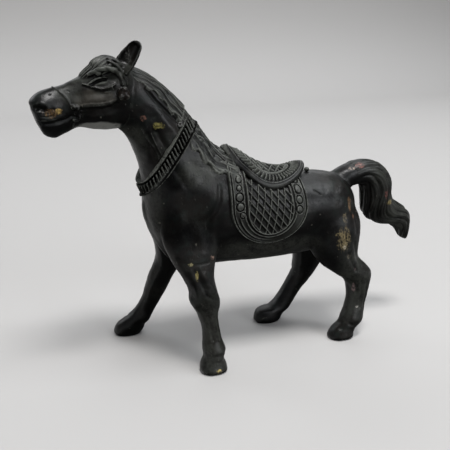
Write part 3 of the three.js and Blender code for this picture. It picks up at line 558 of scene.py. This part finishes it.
horseCasting = makeCasting("horseCasting", [trunk, keel, *legs, tail], casting["bodyGrain"], False)
horseHead = makeCasting("horseHead", [neck, head, forelock, *ears, *trim], casting["headGrain"], True)

# Saddle pad: a flap on each side, as a height over the trunk

pad = dict(outer=np.array([-3, 25.2, 41.5, 54.5]), inner=np.array([3, 19.4, 44.9, 53]), thick=0.75, depth=3,
           lattice=(2.6, 0.86, 0.255), studRadius=1.12, reach=(-5.2, 27.6, 39.6, 66.5),
           underSeat=([-5, -1, 8, 17, 27], [70.5, 68, 63, 60.6, 60.6]),  # the flap ends under the seat
           studs=[(0.4, 63.2, 0.9), (0.1, 60.7, 0.75), (0, 58, 1.1), (0.1, 55, 1.1), (0.8, 52.3, 0.8),
                  (22.5, 60.4, 1), (22.3, 57.6, 1), (22, 54.7, 1), (21.6, 51.8, 1)])


def trunkSide(x, z):
    # The rib whose slanting line passes through (x, z), found by stepping, then the half width of its section there
    ribs = np.array(trunkRibs)
    t = np.interp(-x, -ribs[2:11, 2], np.arange(2, 11))
    for _ in range(12):
        row, ahead = smoothRows(ribs, t), smoothRows(ribs, t + 0.01)
        at = lambda r: r[..., 2] + (r[..., 0] - r[..., 2]) * (z - r[..., 3]) / (r[..., 1] - r[..., 3])
        t = np.clip(t - (at(row) - x) / ((at(ahead) - at(row)) / 0.01), 1, 11)
    rise = np.clip((2 * z - row[..., 1] - row[..., 3]) / (row[..., 1] - row[..., 3]), -0.995, 0.995)
    side = (1 - np.abs(rise) ** trunkPower) ** (1 / trunkPower)
    return row[..., 5] * side * (1 + row[..., 6] * rise)


def archAt(x, z):
    # Share of the way from the outer arch to the inner one, found by halving; an arch is half an ellipse whose sides
    # go straight up
    low, high = np.full(x.shape, -1.0), np.full(x.shape, 2.6)
    for _ in range(24):
        share = (low + high) / 2
        left, right, bottom, bend = [a + (b - a) * share for a, b in zip(pad["outer"], pad["inner"])]
        across = (x - (left + right) / 2) / ((right - left) / 2)
        down = np.minimum(z - bend, 0) / np.maximum(bend - bottom, 0.1)
        inside = across ** 2 + down ** 2 < 1
        low, high = np.where(inside, share, low), np.where(inside, high, share)
    return low


def padHeight(x, z):
    # Rims and grooves are bells of the distance from an arch, studs are domes in rings, and crossed ridges fill the
    # inner arch
    share = archAt(x, z)
    slopeX = np.gradient(share, axis=0) / np.gradient(x, axis=0)
    slopeZ = np.gradient(share, axis=1) / np.gradient(z, axis=1)
    slope = np.maximum(np.hypot(slopeX, slopeZ), 0.02)
    ridge = lambda at, width: bell((share - at) / slope, width)
    height = -0.9 + (0.9 + pad["thick"]) * ease(-0.35, 0.3, share / slope)
    faint = 1 - 0.7 * ease(47, 43, z) * ease(6, 12, x)
    height += faint * (0.3 * ridge(0.05, 0.3) - 0.4 * ridge(0.14, 0.22) + 0.22 * ridge(0.2, 0.2))
    height += 0.3 * ridge(0.76, 0.24) - 0.32 * ridge(0.84, 0.25)
    low = ease(53, 49, z) * ease(16, 4, x)
    height += low * (0.35 * ridge(0.45, 0.26) - 0.3 * ridge(0.36, 0.25))
    height += 0.42 * ridge(0.985, 0.3) - 0.25 * ridge(0.9, 0.3)
    step, down, lean = pad["lattice"]
    gap = lambda v, tilt: np.abs(v - np.round(v)) * step / np.hypot(1, tilt)
    lines = np.maximum(bell(gap((x + down * z) / step, down), 0.26), 0.9 * bell(gap((x - lean * z) / step, lean), 0.24))
    field = ease(-0.15, 0.15, (share - 1.03) / slope)
    height += field * (0.75 * lines - 0.55)
    border = ease(-0.1, 0.2, (share - 0.24) / slope) * (1 - field)
    for studX, studZ, size in pad["studs"]:
        r = np.hypot(x - studX, z - studZ) / (pad["studRadius"] * size)
        dome = np.sqrt(np.clip(1 - r ** 2, 0, 1))
        height += border * (0.45 * dome - 0.4 * bell(r - 1.08, 0.16) + 0.12 * bell(r - 1.35, 0.12))
    return height


def padFlap(side):
    rows, columns = ((290, 250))
    left, right, low, high = pad["reach"]
    x, z = np.meshgrid(np.linspace(left, right, rows), np.linspace(low, high, columns), indexing="ij")
    z = low + (z - low) * (np.interp(x, *pad["underSeat"]) - low) / (high - low)
    grid = np.stack([x, side * trunkSide(x, z), z], -1)
    normals = gridNormals(grid, closed=False)
    normals *= np.sign((normals[..., 1] * side).sum())
    grid = grid + normals * padHeight(x, z)[..., None]
    number = np.arange(rows * columns).reshape(rows, columns)
    rim = np.concatenate([number[:, 0], number[-1, 1:], number[-2::-1, -1], number[0, -2:0:-1]])
    points = grid.reshape(-1, 3)
    inner = points[rim] - [0, side * pad["depth"], 0]
    ring = len(points) + np.arange(len(rim))
    wall = np.stack([rim, ring, np.roll(ring, -1), np.roll(rim, -1)], 1)
    fans = np.stack([np.full(len(rim), len(points) + len(rim)), np.roll(ring, -1), ring], 1)
    points = np.vstack([points, inner, inner.mean(0)])
    quads = np.vstack([cells(rows, columns)[:, [0, 3, 2, 1]], wall])
    return newObject("saddlePad" + ("Left" if side < 0 else "Right"), *outward(points, quads, fans))


pads = [padFlap(-1), padFlap(1)]
print("saddle pad made")

# Saddle seat: a dished leaf over the back, with a smooth rim, a ring of ribs, a bead line and a crossed field

seat = dict(front=0, length=28.7, halfWidth=9.8, taper=-0.2, drop=5.3, forwardDrop=0.45, edge=1.9, ribs=52, diamond=2.5,
            crown=[72.2, 70.7, 67.7, 65.5, 64.4, 64.2, 65.2], edgeRows=34)


def seatGrid():
    # Rings from the middle out: height = crown - drop * (y / half width) ** 1.55 + lift, then round the edge and in
    rows, sides = ((122, 760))
    flat, edge = rows - seat["edgeRows"], seat["edgeRows"]
    turn = np.concatenate([np.zeros(flat), np.linspace(0, 1, edge)])
    share, angle = np.meshgrid(np.concatenate([np.linspace(0.01, 1, flat), np.ones(edge)]), turns(sides), indexing="ij")
    turn = np.broadcast_to(turn[:, None], share.shape)
    out = share - 0.24 * ease(0.5, 1, turn)
    x = seat["front"] + seat["length"] * (0.5 + 0.5 * out * np.cos(angle))
    y = out * seat["halfWidth"] * np.sin(angle) * (1 + seat["taper"] * np.cos(angle))
    along = np.clip((x - seat["front"]) / seat["length"], 0, 1) * (len(seat["crown"]) - 1)
    crown = smoothRows(np.array(seat["crown"])[:, None], along)[..., 0]
    drop = seat["drop"] * (1 - seat["forwardDrop"] * out * np.cos(angle))
    z = crown - drop * (np.abs(y) / seat["halfWidth"]) ** 1.55
    ring = lambda at, width: bell(share - at, width)
    slant = angle * seat["ribs"] + 14 * (share - 0.78)
    ribs = ease(0.65, 0.7, share) * (1 - ease(0.88, 0.92, share)) * (0.5 + 0.5 * np.cos(slant)) ** 0.8
    lift = 0.6 * ring(0.605, 0.02) + 0.35 * ring(0.56, 0.014) - 0.3 * ring(0.645, 0.018) + 1.05 * ribs
    lift -= 0.45 * ring(0.77, 0.1)
    lift += 0.4 * ease(0.91, 0.95, share) + 0.15 * ring(0.95, 0.02) - 0.25 * ease(0.95, 1, share)
    step = seat["diamond"]
    gap = lambda v: np.abs(v - np.round(v)) * step / 1.25
    lines = np.maximum(bell(gap((x + 0.75 * y) / step), 0.34), bell(gap((x - 0.75 * y) / step), 0.34))
    lift += (1 - ease(0.53, 0.55, share)) * (0.95 * lines - 0.5)
    z = z + lift * (turn == 0) + 0.25 * (turn > 0)
    bend = np.minimum(2 * turn, 1) * np.pi
    bulge = 0.55 * np.sin(bend) + 0.9 * np.sin(bend) * ease(0.75, 1, -np.cos(angle))
    under = 0.5 * (1 - np.cos(bend)) * seat["edge"] + 3.4 * ease(0.5, 1, turn)
    nose = 0.9 * ease(0.8, 1, -np.cos(angle)) * ease(0.86, 0.97, share)  # the rolled front
    z = z - under + nose * (1 - ease(0.3, 1, turn))
    return np.stack([x + bulge * np.cos(angle), y + bulge * np.sin(angle), z], -1)


saddleSeat = newObject("saddleSeat", *tube(seatGrid()))
backKnob = newObject("backKnob", *pebble((30.6, -0.6, 62.3), (0.9, 1.1, 0.8)))
print("saddle seat made")

# Collar: a tilted band round the foot of the neck, with corded rims and slanting teeth between them

collarOffset = np.concatenate([[-0.53], np.linspace(-0.5, 0.5, 47), [0.53]])  # across the band, in widths


def collarGrid():
    # Rows round the neck, snapped to its skin; a row is the band's profile, whose middle rises and falls once a tooth
    sides = 1080
    reach = np.hypot(*(collar["top"] - collar["bottom"])[[0, 2]]) / 2
    c, s = np.cos(turns(120))[:, None], np.sin(turns(120))[:, None]
    towards = unit(reach * c * collarLong + neckWidth * s * np.array([0, 1, 0]))
    farChest = np.maximum(0, s) * np.maximum(0, -c)
    start = collarMiddle + (collar["bow"] * np.abs(s) - 1.5 * farChest) * collarAhead
    skin = Skin([trunk]).tree
    path = np.array([skin.ray_cast(Vector(p + 40 * d), Vector(-d))[0] for p, d in zip(start, towards)])
    out = unit(neckWidth * c * collarLong + reach * s * np.array([0, 1, 0]))
    chest = np.maximum(0, -c) ** 3
    over = unit(collarAhead * (1 - chest) + np.array([-0.1, 0, 1]) * chest)
    out = unit(out * (1 - chest) + np.array([-1, 0, -0.1]) * chest)
    for _ in range(3):
        path = 0.5 * path + 0.25 * (np.roll(path, 1, 0) + np.roll(path, -1, 0))
    wrap = lambda rows: smoothRows(np.vstack([rows, rows[:1]]), np.arange(sides) * 120 / sides)
    path, over, out = wrap(path), unit(wrap(over)), unit(wrap(out))
    low = wrap(0.3 * farChest)
    step = np.linalg.norm(np.roll(path, -1, 0) - path, axis=1)
    around = np.cumsum(step) / step.sum()
    offset = collarOffset
    rear = ease(-0.5, -0.46, offset) * ease(-0.32, -0.38, offset)
    fore = 0.95 * bell(offset - 0.45, 0.04) + 0.75 * bell(offset - 0.37, 0.026)
    teeth = ease(-0.3, -0.26, offset) * ease(0.33, 0.29, offset)
    cord = 0.85 + 0.15 * np.abs(np.sin(np.pi * (2.1 * collar["teeth"] * around[:, None] + 1.5 * offset[None])))
    phase = collar["teeth"] * around[:, None] + collar["slant"] * offset[None]
    tooth = np.abs(np.sin(np.pi * phase)) ** 1.5 * (0.75 + 0.5 * ease(-0.25, 0.25, offset))[None]
    height = 0.15 + 0.85 * rear[None] + fore[None] * cord + teeth[None] * (0.95 * tooth - 0.1)
    height[:, [0, -1]] = -1.6
    thick = collar["height"] * height * (1 - low)
    return path[:, None] + over[:, None] * (offset * collar["width"])[None, :, None] + out[:, None] * thick[..., None]


collarRows = collarGrid()  # joined both ways: round the neck, and where a row's two ends meet inside
collarFaces = cells(*collarRows.shape[:2], 1, 1)
collarBand = newObject("collarBand", *outward(collarRows.reshape(-1, 3), collarFaces, np.zeros((0, 3), int)))
print("collar made")

tailRows = ((460, 210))
tailLock = newObject("tailLock", *loft(tailRibs, *tailRows, 2, tailHair))
print("tail made")

# Mane: sheets of locks over the crest, before and behind the collar

mane = dict(strands=4, under=-2.4, ragged=0.8)
maneSheets = [
    dict(name="neckMane", start=15.5, end=11.9, spread=(0.9, 0.8), height=(0.5, 1.9), wave=0.35, plait=0),
    dict(name="withersMane", start=12.1, end=6.7, spread=(0.95, 0.9), height=(1.3, 1.9), wave=0.3, plait=10),
]


def maneGrid(sheet):
    # across runs -1 to 1 over the crest; height = a low dome * (strands along the crest + plaits that cross them)
    rows, columns = ((420, 220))
    f, across = np.meshgrid(np.linspace(0, 1, rows), np.linspace(-1, 1, columns), indexing="ij")
    down = np.abs(across)
    t = sheet["start"] + (sheet["end"] - sheet["start"]) * f
    spread = sheet["spread"][0] + (sheet["spread"][1] - sheet["spread"][0]) * f
    height = sheet["height"][0] + (sheet["height"][1] - sheet["height"][0]) * ease(0, 1, f)
    wander = sheet["wave"] * (np.sin(9 * f + 5 * down) + 0.5 * np.sin(23 * f - 9 * down + 1.2)) * (1 - down ** 4)
    lock = mane["strands"] * down + wander
    lines = np.abs(np.sin(np.pi * lock))
    thin = np.abs(np.sin(np.pi * (2.7 * mane["strands"] * down + 2.3 * wander + 0.3)))
    lean = 1.4 * (lock % 1) * np.where(lock % 2 < 1, 1, -1)
    plaits = np.abs(np.sin(np.pi * (sheet["plait"] * f + lean))) ** 0.7 if sheet["plait"] else thin
    fade = (1 - ease(0.9, 1, down + 0.04 * np.sin(31 * f) + 0.03 * np.sin(13 * f + 1))) * ease(0, 0.04, f)
    shape = 0.25 + 0.55 * lines ** 0.6 + 0.15 * thin + 0.12 * plaits * lines
    grow = height * fade * shape * (1 - 0.8 * down ** 2) - mane["ragged"] * (1 - fade)
    outer = skinAt(trunkRibs, t, across * spread, trunkPower, grow)
    inner = skinAt(trunkRibs, t, across * spread, trunkPower, mane["under"])[:, ::-1][:, 4:-4:12]
    return np.concatenate([outer, inner], 1)


manes = [newObject(sheet["name"], *tube(maneGrid(sheet))) for sheet in maneSheets]
print("mane made")


# Bronze: a dark waxed patina, dust in the hollows, rubbed edges and spots worn to the metal, with painted shade in deep
# hollows, on side- and down-facing skin and at listed spots, a painted floor reflection under the jaw, painted sheen on
# up-facing skin and painted highlights

class Socket:
    def __init__(self, sheet, out):
        self.sheet, self.out = sheet, out

    def maths(self, operation, first, second):
        return self.sheet.add("Math", {"operation": operation}, {0: first, 1: second})

    def __add__(self, other):
        return self.maths("ADD", self, other)

    def __sub__(self, other):
        return self.maths("SUBTRACT", self, other)

    def __rsub__(self, other):
        return self.maths("SUBTRACT", other, self)

    def __mul__(self, other):
        return self.maths("MULTIPLY", self, other)

    __radd__, __rmul__ = __add__, __mul__


def larger(first, second):
    return first.maths("MAXIMUM", first, second)


class Sheet:
    def __init__(self, name):
        self.material = bpy.data.materials.new(name)
        self.material.use_nodes = True
        self.tree = self.material.node_tree
        self.tree.nodes.clear()

    def add(self, kind, settings, sockets, output=0):
        node = self.tree.nodes.new("ShaderNode" + kind)
        for name, value in settings.items():
            setattr(node, name, value)
        for name, value in sockets.items():
            if isinstance(value, Socket):
                self.tree.links.new(value.out, node.inputs[name])
            else:
                node.inputs[name].default_value = value
        return Socket(self, node.outputs[output] if node.outputs else None)

    def place(self):  # the Object coordinates
        return self.add("TexCoord", {}, {}, 3)

    def mark(self, name):  # a value that markSkin stored
        return self.add("Attribute", {"attribute_name": name}, {}, 2)

    def between(self, low, high, value):  # 0 below low, 1 above high
        limits = {"Value": value, "From Min": low, "From Max": high}
        return self.add("MapRange", {"interpolation_type": "SMOOTHSTEP"}, limits)

    def blend(self, amount, first, second):
        first, second = [c if isinstance(c, Socket) else (*c, 1) for c in (first, second)]
        return self.add("Mix", {"data_type": "RGBA"}, {0: amount, 6: first, 7: second}, 2)

    def noise(self, at, scale, detail, rough=0.55):
        return self.add("TexNoise", {}, {"Vector": at, "Scale": scale, "Detail": detail, "Roughness": rough})

    def vector(self, operation, first, second, output=0):
        return self.add("VectorMath", {"operation": operation}, {0: first, 1: second}, output)

    def spot(self, at, middle, radii, ragged, soft=0.15):  # 1 inside an ellipsoid, 0 outside, its edge moved by ragged
        away = self.vector("SUBTRACT", at, (np.array(middle) - shift) * 0.001)
        share = self.vector("DIVIDE", away, np.array(radii) * 0.001)
        distance = self.vector("LENGTH", share, (0, 0, 0), 1)
        return self.between(0.97 + soft, 0.97 - soft, distance + ragged)


patina = dict(dark=(0.0014, 0.0015, 0.0017), brown=(0.0056, 0.0045, 0.0036), green=(0.0042, 0.0062, 0.0052),
              dust=(0.022, 0.025, 0.02), rubbed=(0.125, 0.13, 0.117), olive=(0.032, 0.0285, 0.023),
              crown=(0.05, 0.053, 0.046), paintedJawReflection=(0.14, 0.14, 0.13), greyStainAndSheen=(0.021, 0.022, 0.0185),
              pit=(0.0005, 0.0005, 0.0005), fleck=(0.1, 0.095, 0.08))
wornAndPaintedSpots = [  # middle, radii, colour, how bare
    (-53.9, -4.4, 87.6, 1.2, 2, 1, 0.36, 0.25, 0.09, 1), (-56.2, -4.5, 87.2, 2.2, 2, 1.4, 0.11, 0.065, 0.03, 0.5),
    (-24.4, -6.1, 81.8, 1.8, 2, 1.1, 0.24, 0.21, 0.07, 0.8), (-28.8, -5.6, 84.4, 1.2, 2, 0.9, 0.12, 0.06, 0.045, 0.4),
    (-17.4, -14.6, 38.1, 0.8, 2, 0.6, 0.4, 0.36, 0.2, 0.8), (-15.6, -15.1, 34.3, 0.6, 2, 1.8, 0.32, 0.27, 0.11, 0.8),
    (-9.6, -13.3, 39, 0.9, 2, 1, 0.3, 0.2, 0.16, 0.5), (-10.3, -20.8, 1.5, 0.9, 2, 0.6, 0.5, 0.4, 0.15, 1),
    (-34.9, -8, 92, 2.2, 3, 2.2, 0.01, 0.0065, 0.005, 0), (39.2, -13.6, 39.4, 2.5, 2.5, 4.6, 0.25, 0.2, 0.11, 0.7),
    (39.6, -13.8, 36.3, 0.7, 2, 0.8, 0.42, 0.38, 0.3, 0.6), (42.4, -10.9, 51, 1, 2, 2.4, 0.24, 0.14, 0.07, 0.5),
    (51, -3, 62.4, 1.8, 2, 0.9, 0.3, 0.14, 0.12, 0.5), (47.6, -2.4, 61.6, 1.2, 2, 0.5, 0.33, 0.26, 0.22, 0.4),
    (61.9, -4.8, 50.9, 1, 2, 1.7, 0.16, 0.06, 0.05, 0.4), (64.1, -3.9, 47.7, 1.5, 2, 1, 0.28, 0.22, 0.09, 0.8),
    (45.2, -12.9, 19.6, 0.7, 2, 1.7, 0.16, 0.11, 0.11, 0.3), (39.8, -13, 46.5, 0.9, 2, 2.2, 0.16, 0.13, 0.08, 0.4),
    (43.6, -10.6, 46.5, 0.7, 2, 1.4, 0.22, 0.12, 0.08, 0.4), (43.4, -11.4, 41.5, 0.6, 2, 1.6, 0.2, 0.13, 0.1, 0.3),
    (41.5, -13, 32.5, 0.9, 2, 0.8, 0.14, 0.12, 0.09, 0.3), (36.8, -13.6, 41.4, 1.2, 2, 0.6, 0.2, 0.16, 0.08, 0.4),
    # (-32.2, -5.2, 103.2), the second spot below, is a painted highlight on the near ear's inner face
    (44.6, -12, 27.4, 0.7, 2, 0.9, 0.14, 0.1, 0.1, 0.2), (-32.2, -5.2, 103.2, 1.2, 3, 3.4, 0.15, 0.15, 0.14, 0),
    # (0.6, -4.6, 70.4) and (3.2, -6.6, 67), the last two spots, paint the seat's front rim darker: painted shade
    (46.5, -13.6, 12.2, 0.8, 2, 0.5, 0.3, 0.29, 0.26, 0.3), (0.6, -4.6, 70.4, 2.2, 3, 3.6, 0.004, 0.0045, 0.006, 0),
    (3.2, -6.6, 67, 3, 3, 2.6, 0.004, 0.0045, 0.006, 0),
]
paintedShadeSpots = [  # middle, radii of places painted near black with their wax made dull: painted shade under the jaw and down the neck, by the eye, elbow and shoulder and on the seat's front rim, and painted dark reflections on the flank and the near foreleg
    (30, -13.5, 43.3, 8, 6, 7), (-13.5, -12, 49.5, 8, 6, 7), (0.5, -4, 70.6, 2.5, 6, 4), (3.5, -7, 67, 3.5, 3.5, 3),
    (-20, -9, 65.5, 3.2, 5, 5), (-8.5, -15, 16, 3.5, 5, 9), (-11.5, -15.5, 25, 4, 5, 4), (-22, -9, 50, 6, 6, 8),
    (-36, -6, 84.8, 8, 5, 1.6), (-41.6, -6, 95.7, 2.6, 3, 1.1), (-37.8, -5, 97, 1.8, 3, 1.2),
    (-31, -6, 82.6, 4, 6, 3), (-27.5, -6, 78, 3.6, 6, 4), (-24.6, -7, 73.4, 3, 6, 4),
]
greyStainAndSheenSpots = [  # middle, radii of places that are grey: some are stains, on the legs, hooves and tail; those on the belly, chest and neck front are painted floor reflections, the one on the shoulder a painted highlight
    (-12, -16, 12, 8, 8, 15), (45, -12, 20, 7, 7, 16), (-26, -2, 52, 4, 7, 11), (10, -9, 33, 18, 8, 4),
    (-31, -2, 75.5, 3.4, 6, 7), (-12, -9.5, 67, 6, 4, 5), (-50, -4, 92.5, 4, 6, 3), (-34, -4, 98, 4, 5, 4),
    (8, -12.5, 38, 20, 5, 5), (-13, -16, 3, 8, 8, 5), (-33, -3, 79, 4, 6, 3), (70, -3, 41, 9, 8, 13),
    (60, -2, 59, 5, 8, 5),
]


def bronzeSheet():
    sheet = Sheet("patinatedBronze")
    between, blend = sheet.between, sheet.blend
    at, hollow, upward, dust = sheet.place(), sheet.mark("hollow"), sheet.mark("upward"), sheet.mark("dust")
    broad, middle, fine = sheet.noise(at, 70, 4), sheet.noise(at, 330, 4), sheet.noise(at, 1400, 3)
    wide, near = broad - 0.5, middle - 0.5

    # the wax's own colours, the cheek, a pale strip under the jaw that is a painted floor reflection, and a pale crown
    # and film on up-facing raised skin that are dust and painted sheen
    colour = blend(between(0.42, 0.62, broad), patina["dark"], patina["brown"])
    colour = blend(between(0.48, 0.68, middle), colour, patina["green"])
    cheek = sheet.spot(at, (-43, -6, 91), (7, 5, 3.2), 1.2 * wide)
    colour = blend(0.9 * cheek * between(0.25, 0.6, middle), colour, patina["olive"])
    # a pale strip under the jaw: painted reflection of the floor
    paintedJawReflection = sheet.spot(at, (-42.4, -4, 81.6), (7.4, 6, 2.3), 0.5 * wide + 0.4 * near)
    # a pale crown and a pale film on up-facing raised skin: dust, and painted sheen of the light from above
    crown = sheet.spot(at, (-42, 0, 98.2), (8, 9, 4.6), 0.8 * near) * between(0.06, -0.08, hollow)
    dustAndSheenFilm = between(-0.9, 0.8, upward) * dust * between(0.05, -0.06, hollow) * between(0.15, 0.6, middle)

    # near black where the wax is dull, and as painted shade on side- and down-facing skin, at listed spots and in deep
    # hollows; grey where it is stained, and as painted floor reflections and a painted highlight at some listed spots;
    # pale where dust lies, and as painted sheen on up-facing skin
    # near black and dull where the dust mark is below zero, and painted shade on side- and down-facing skin; the listed
    # spots add painted shade and dark reflections
    dullAndPaintedShade = larger(-1 * dust, 0.9 * between(0.3, -0.15, upward))
    for x, y, z, *radii in paintedShadeSpots:
        dullAndPaintedShade = larger(dullAndPaintedShade, 0.85 * sheet.spot(at, (x, y, z), radii, 0.8 * wide + 0.3 * near, 0.5))
    colour = blend(0.85 * dullAndPaintedShade, colour, patina["pit"])
    # grey: random stains, and at some listed spots painted floor reflections and a painted highlight
    greyStainAndSheen = 0.2 * between(0.5, 0.7, broad)
    for x, y, z, *radii in greyStainAndSheenSpots:
        greyStainAndSheen = larger(greyStainAndSheen, sheet.spot(at, (x, y, z), radii, 1.5 * wide + 0.8 * near, 0.4))
    colour = blend(0.9 * greyStainAndSheen * between(0.3, 0.62, 0.6 * middle + 0.4 * fine), colour, patina["greyStainAndSheen"])
    # pale crown and film: dust and painted sheen
    colour = blend(larger(crown, dustAndSheenFilm), colour, patina["crown"])
    # painted floor reflection under the jaw
    colour = blend(0.9 * paintedJawReflection * between(0.2, 0.5, middle), colour, patina["paintedJawReflection"])
    # deep hollows painted near black: painted shade in recesses
    colour = blend(0.85 * between(0.02, 0.14, hollow), colour, patina["pit"])
    dusty = between(0.01, 0.05, hollow) * between(0.12, 0.05, hollow) * between(0.42, 0.66, middle)
    colour = blend(0.5 * dusty, colour, patina["dust"])

    # rubbed edges, pale from wear and as a painted highlight; scratches, worn spots (among them painted shade on the
    # seat's front rim and a painted highlight on the near ear) and flecks
    # raised edges turn pale: wear, and a painted highlight where they catch the light
    edges = between(-0.05, -0.2, hollow) * between(0.25, 0.6, fine + 0.5 * near)
    colour = blend(0.7 * edges, colour, patina["rubbed"])
    turn = {"Vector": at, "Rotation": (0.3, 0, 0.6)}
    turned = sheet.add("VectorRotate", {"rotation_type": "EULER_XYZ"}, turn)
    streaks = sheet.noise(sheet.vector("MULTIPLY", turned, (1500, 500, 260)), 1, 4, 0.65)
    colour = blend(0.5 * between(0.66, 0.72, streaks) * between(0.5, 0.62, broad), colour, patina["rubbed"])
    bare = 0.2 * edges
    for x, y, z, *rest, amount in wornAndPaintedSpots:
        mask = sheet.spot(at, (x, y, z), rest[:3], 2.2 * (streaks - 0.5))
        mask = mask * between(0.4, 0.62, 0.5 * fine + 0.5 * streaks)
        colour = blend(0.75 * mask, colour, rest[3:])
        bare = larger(bare, amount * mask)
    colour = blend(0.4 * between(0.74, 0.8, sheet.noise(at, 620, 1, 0.4)), colour, patina["fleck"])

    pits = between(0.62, 0.8, sheet.noise(at, 900, 2, 0.5))
    relief = 0.8 * middle + 0.4 * fine - 0.6 * pits + 0.5 * streaks
    bump = sheet.add("Bump", {}, {"Strength": 0.55, "Distance": 0.0002, "Height": relief})
    rough = 0.37 + 0.3 * (middle - 0.45) + 0.15 * (fine - 0.5) + 0.2 * dusty + 0.12 * edges
    skin = {"Base Color": colour, "Metallic": 0.7 * bare, "Normal": bump}
    wax = {**skin, "Roughness": rough, "Specular IOR Level": 0.27}
    raw = {**skin, "Roughness": rough + 0.15, "Specular IOR Level": 0.02}
    waxed, dull = [sheet.add("BsdfPrincipled", {}, sockets) for sockets in (wax, raw)]
    dullness = larger(dullAndPaintedShade, 0.35 * between(0.48, 0.72, broad + 0.3 * near))
    shader = sheet.add("MixShader", {}, {0: dullness, 1: waxed, 2: dull})
    sheet.add("OutputMaterial", {}, {"Surface": shader})
    return sheet.material


bronze = bronzeSheet()
pieces = [horseCasting, horseHead, *pads, saddleSeat, backKnob, collarBand, tailLock, *manes]
marks = dict(horseCasting=(0.6, 0), horseHead=(1, 0), tailLock=(0.3, 0.3), neckMane=(1.1, 0.5), withersMane=(1.3, 0.35),
             others=(1, 0.65), reach=0.55)  # share of the hollows, dust
for piece in pieces:
    share, dust = marks.get(piece.name, marks["others"])
    if piece is saddleSeat:  # the rim takes little of the pale film of dust and painted sheen, the ribs and the crossed lines much
        x, y = readPoints(piece.data).T[:2]
        middleways = 2 * (x - seat["front"]) / seat["length"] - 1
        sideways = y / (seat["halfWidth"] * (1 + seat["taper"] * middleways))
        dust = 1.2 - 1.1 * ease(0.85, 0.9, np.hypot(middleways, sideways))
    if piece is collarBand:  # made near black and dull all over; the teeth get deep hollows and pale edges, the rims shallow ones
        share = np.tile(np.where(np.abs(collarOffset) < 0.31, 1.3, 0.25), len(piece.data.vertices) // len(collarOffset))
        dust = -1
    markSkin(piece, marks["reach"], share, dust)
    piece.data.materials.clear()
    piece.data.materials.append(bronze)
    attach(piece, body)
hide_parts("horse")
print("finish on", sum(len(piece.data.polygons) for piece in pieces), "faces")

# Pale sweep, soft studio light and the camera

studio = dict(width=2.4, front=-2.4, back=0.56, bend=0.2, rise=1)


def sweepGrid():  # a floor that turns up into a wall through a quarter circle
    turn = np.linspace(0, np.pi / 2, 24)
    flat = np.linspace(studio["front"], studio["back"], 20)[:-1]
    y = np.concatenate([flat, studio["back"] + studio["bend"] * np.sin(turn)])
    z = np.concatenate([np.zeros(19), studio["bend"] * (1 - np.cos(turn))])
    y, z = np.append(y, y[-1]), np.append(z, studio["rise"])
    x = np.linspace(-studio["width"], studio["width"], 30)
    return np.stack(np.broadcast_arrays(x[None], y[:, None], z[:, None]), -1)


def makeSweep():
    grid = sweepGrid()
    sweep = newObject("sweep", grid.reshape(-1, 3) * 1000 + shift, cells(*grid.shape[:2]), np.zeros((0, 3), int))
    sheet = Sheet("palePaper")
    height = sheet.add("SeparateXYZ", {}, {0: sheet.place()}, 2)
    # the wall is painted darker above 0.15 m: painted shade of the light falling off towards the top
    paintedWallShade = sheet.blend(sheet.between(0, 0.15, height), (0.42, 0.412, 0.407), (0.32, 0.312, 0.307))
    paper = {"Base Color": paintedWallShade, "Roughness": 0.75, "Specular IOR Level": 0.2}
    sheet.add("OutputMaterial", {}, {"Surface": sheet.add("BsdfPrincipled", {}, paper)})
    sweep.data.materials.append(sheet.material)


makeSweep()


def aimed(obj, where, look):  # stands there and looks that way, upright
    obj.location, obj.rotation_euler = where, look.to_track_quat("-Z", "Y").to_euler()
    return obj


lamps = [  # name, place, aim, width, height, radiance, colour
    ("keyPanel", (-0.02, -0.29, 1.02), (0, 0, 0.03), 0.28, 0.26, 40, (1, 0.99, 0.98)),
    ("rightCard", (0.52, -0.24, 0.86), (0, 0, 0.05), 0.46, 0.4, 8, (0.95, 0.98, 1)),
    ("lowCard", (0.44, -0.73, 0.33), (0, 0, 0.06), 0.34, 0.38, 6.8, (0.95, 0.97, 1)),
    ("noseCard", (-0.22, -0.6, 0.66), (0, 0, 0.06), 0.3, 0.24, 4, (0.93, 0.97, 1)),
    ("leftCard", (-0.95, -0.4, 0.3), (0, 0, 0.06), 0.5, 0.4, 0.9, (0.93, 0.97, 1)),
    ("backCard", (-0.05, 0.62, 0.46), (0, 0, 0.05), 1.4, 0.36, 1.3, (0.95, 0.98, 1)),
    ("farCard", (-0.4, 0.78, 0.38), (0, 0, 0.06), 0.34, 0.38, 3.6, (0.95, 0.97, 1)),
    ("backPanel", (0.42, 0.35, 0.9), (0.4, 0.5, 0.1), 0.6, 0.6, 2.5, (0.97, 0.985, 1)),
]
for name, where, aim, width, height, radiance, tint in lamps:
    light = bpy.data.lights.new(name, "AREA")
    light.shape, light.size, light.size_y, light.color = "RECTANGLE", width, height, tint
    light.energy = radiance * np.pi * width * height
    aimed(linked(name, light), where, Vector(aim) - Vector(where))

world = bpy.data.worlds.new("studioAir")
bpy.context.scene.world = world
world.use_nodes = True
air = world.node_tree.nodes["Background"].inputs
air["Color"].default_value, air["Strength"].default_value = (0.95, 0.97, 1, 1), 0.03
bpy.context.scene.view_settings.view_transform = "Standard"

view = dict(azimuth=-21.5, elevation=18, distance=0.230, aim=(0, 0, 0.04505), lens=53.36, sensor=36, near=0.01)
az, el = np.radians([view["azimuth"], view["elevation"]])
aim = np.array(view["aim"]) - shift * 0.001
eye = aim + view["distance"] * np.array([np.sin(az) * np.cos(el), -np.cos(az) * np.cos(el), np.sin(el)])
data = bpy.data.cameras.new("camera")
data.lens, data.sensor_width, data.clip_start = view["lens"], view["sensor"], view["near"]
bpy.context.scene.camera = aimed(linked("camera", data), eye, Vector(aim - eye))
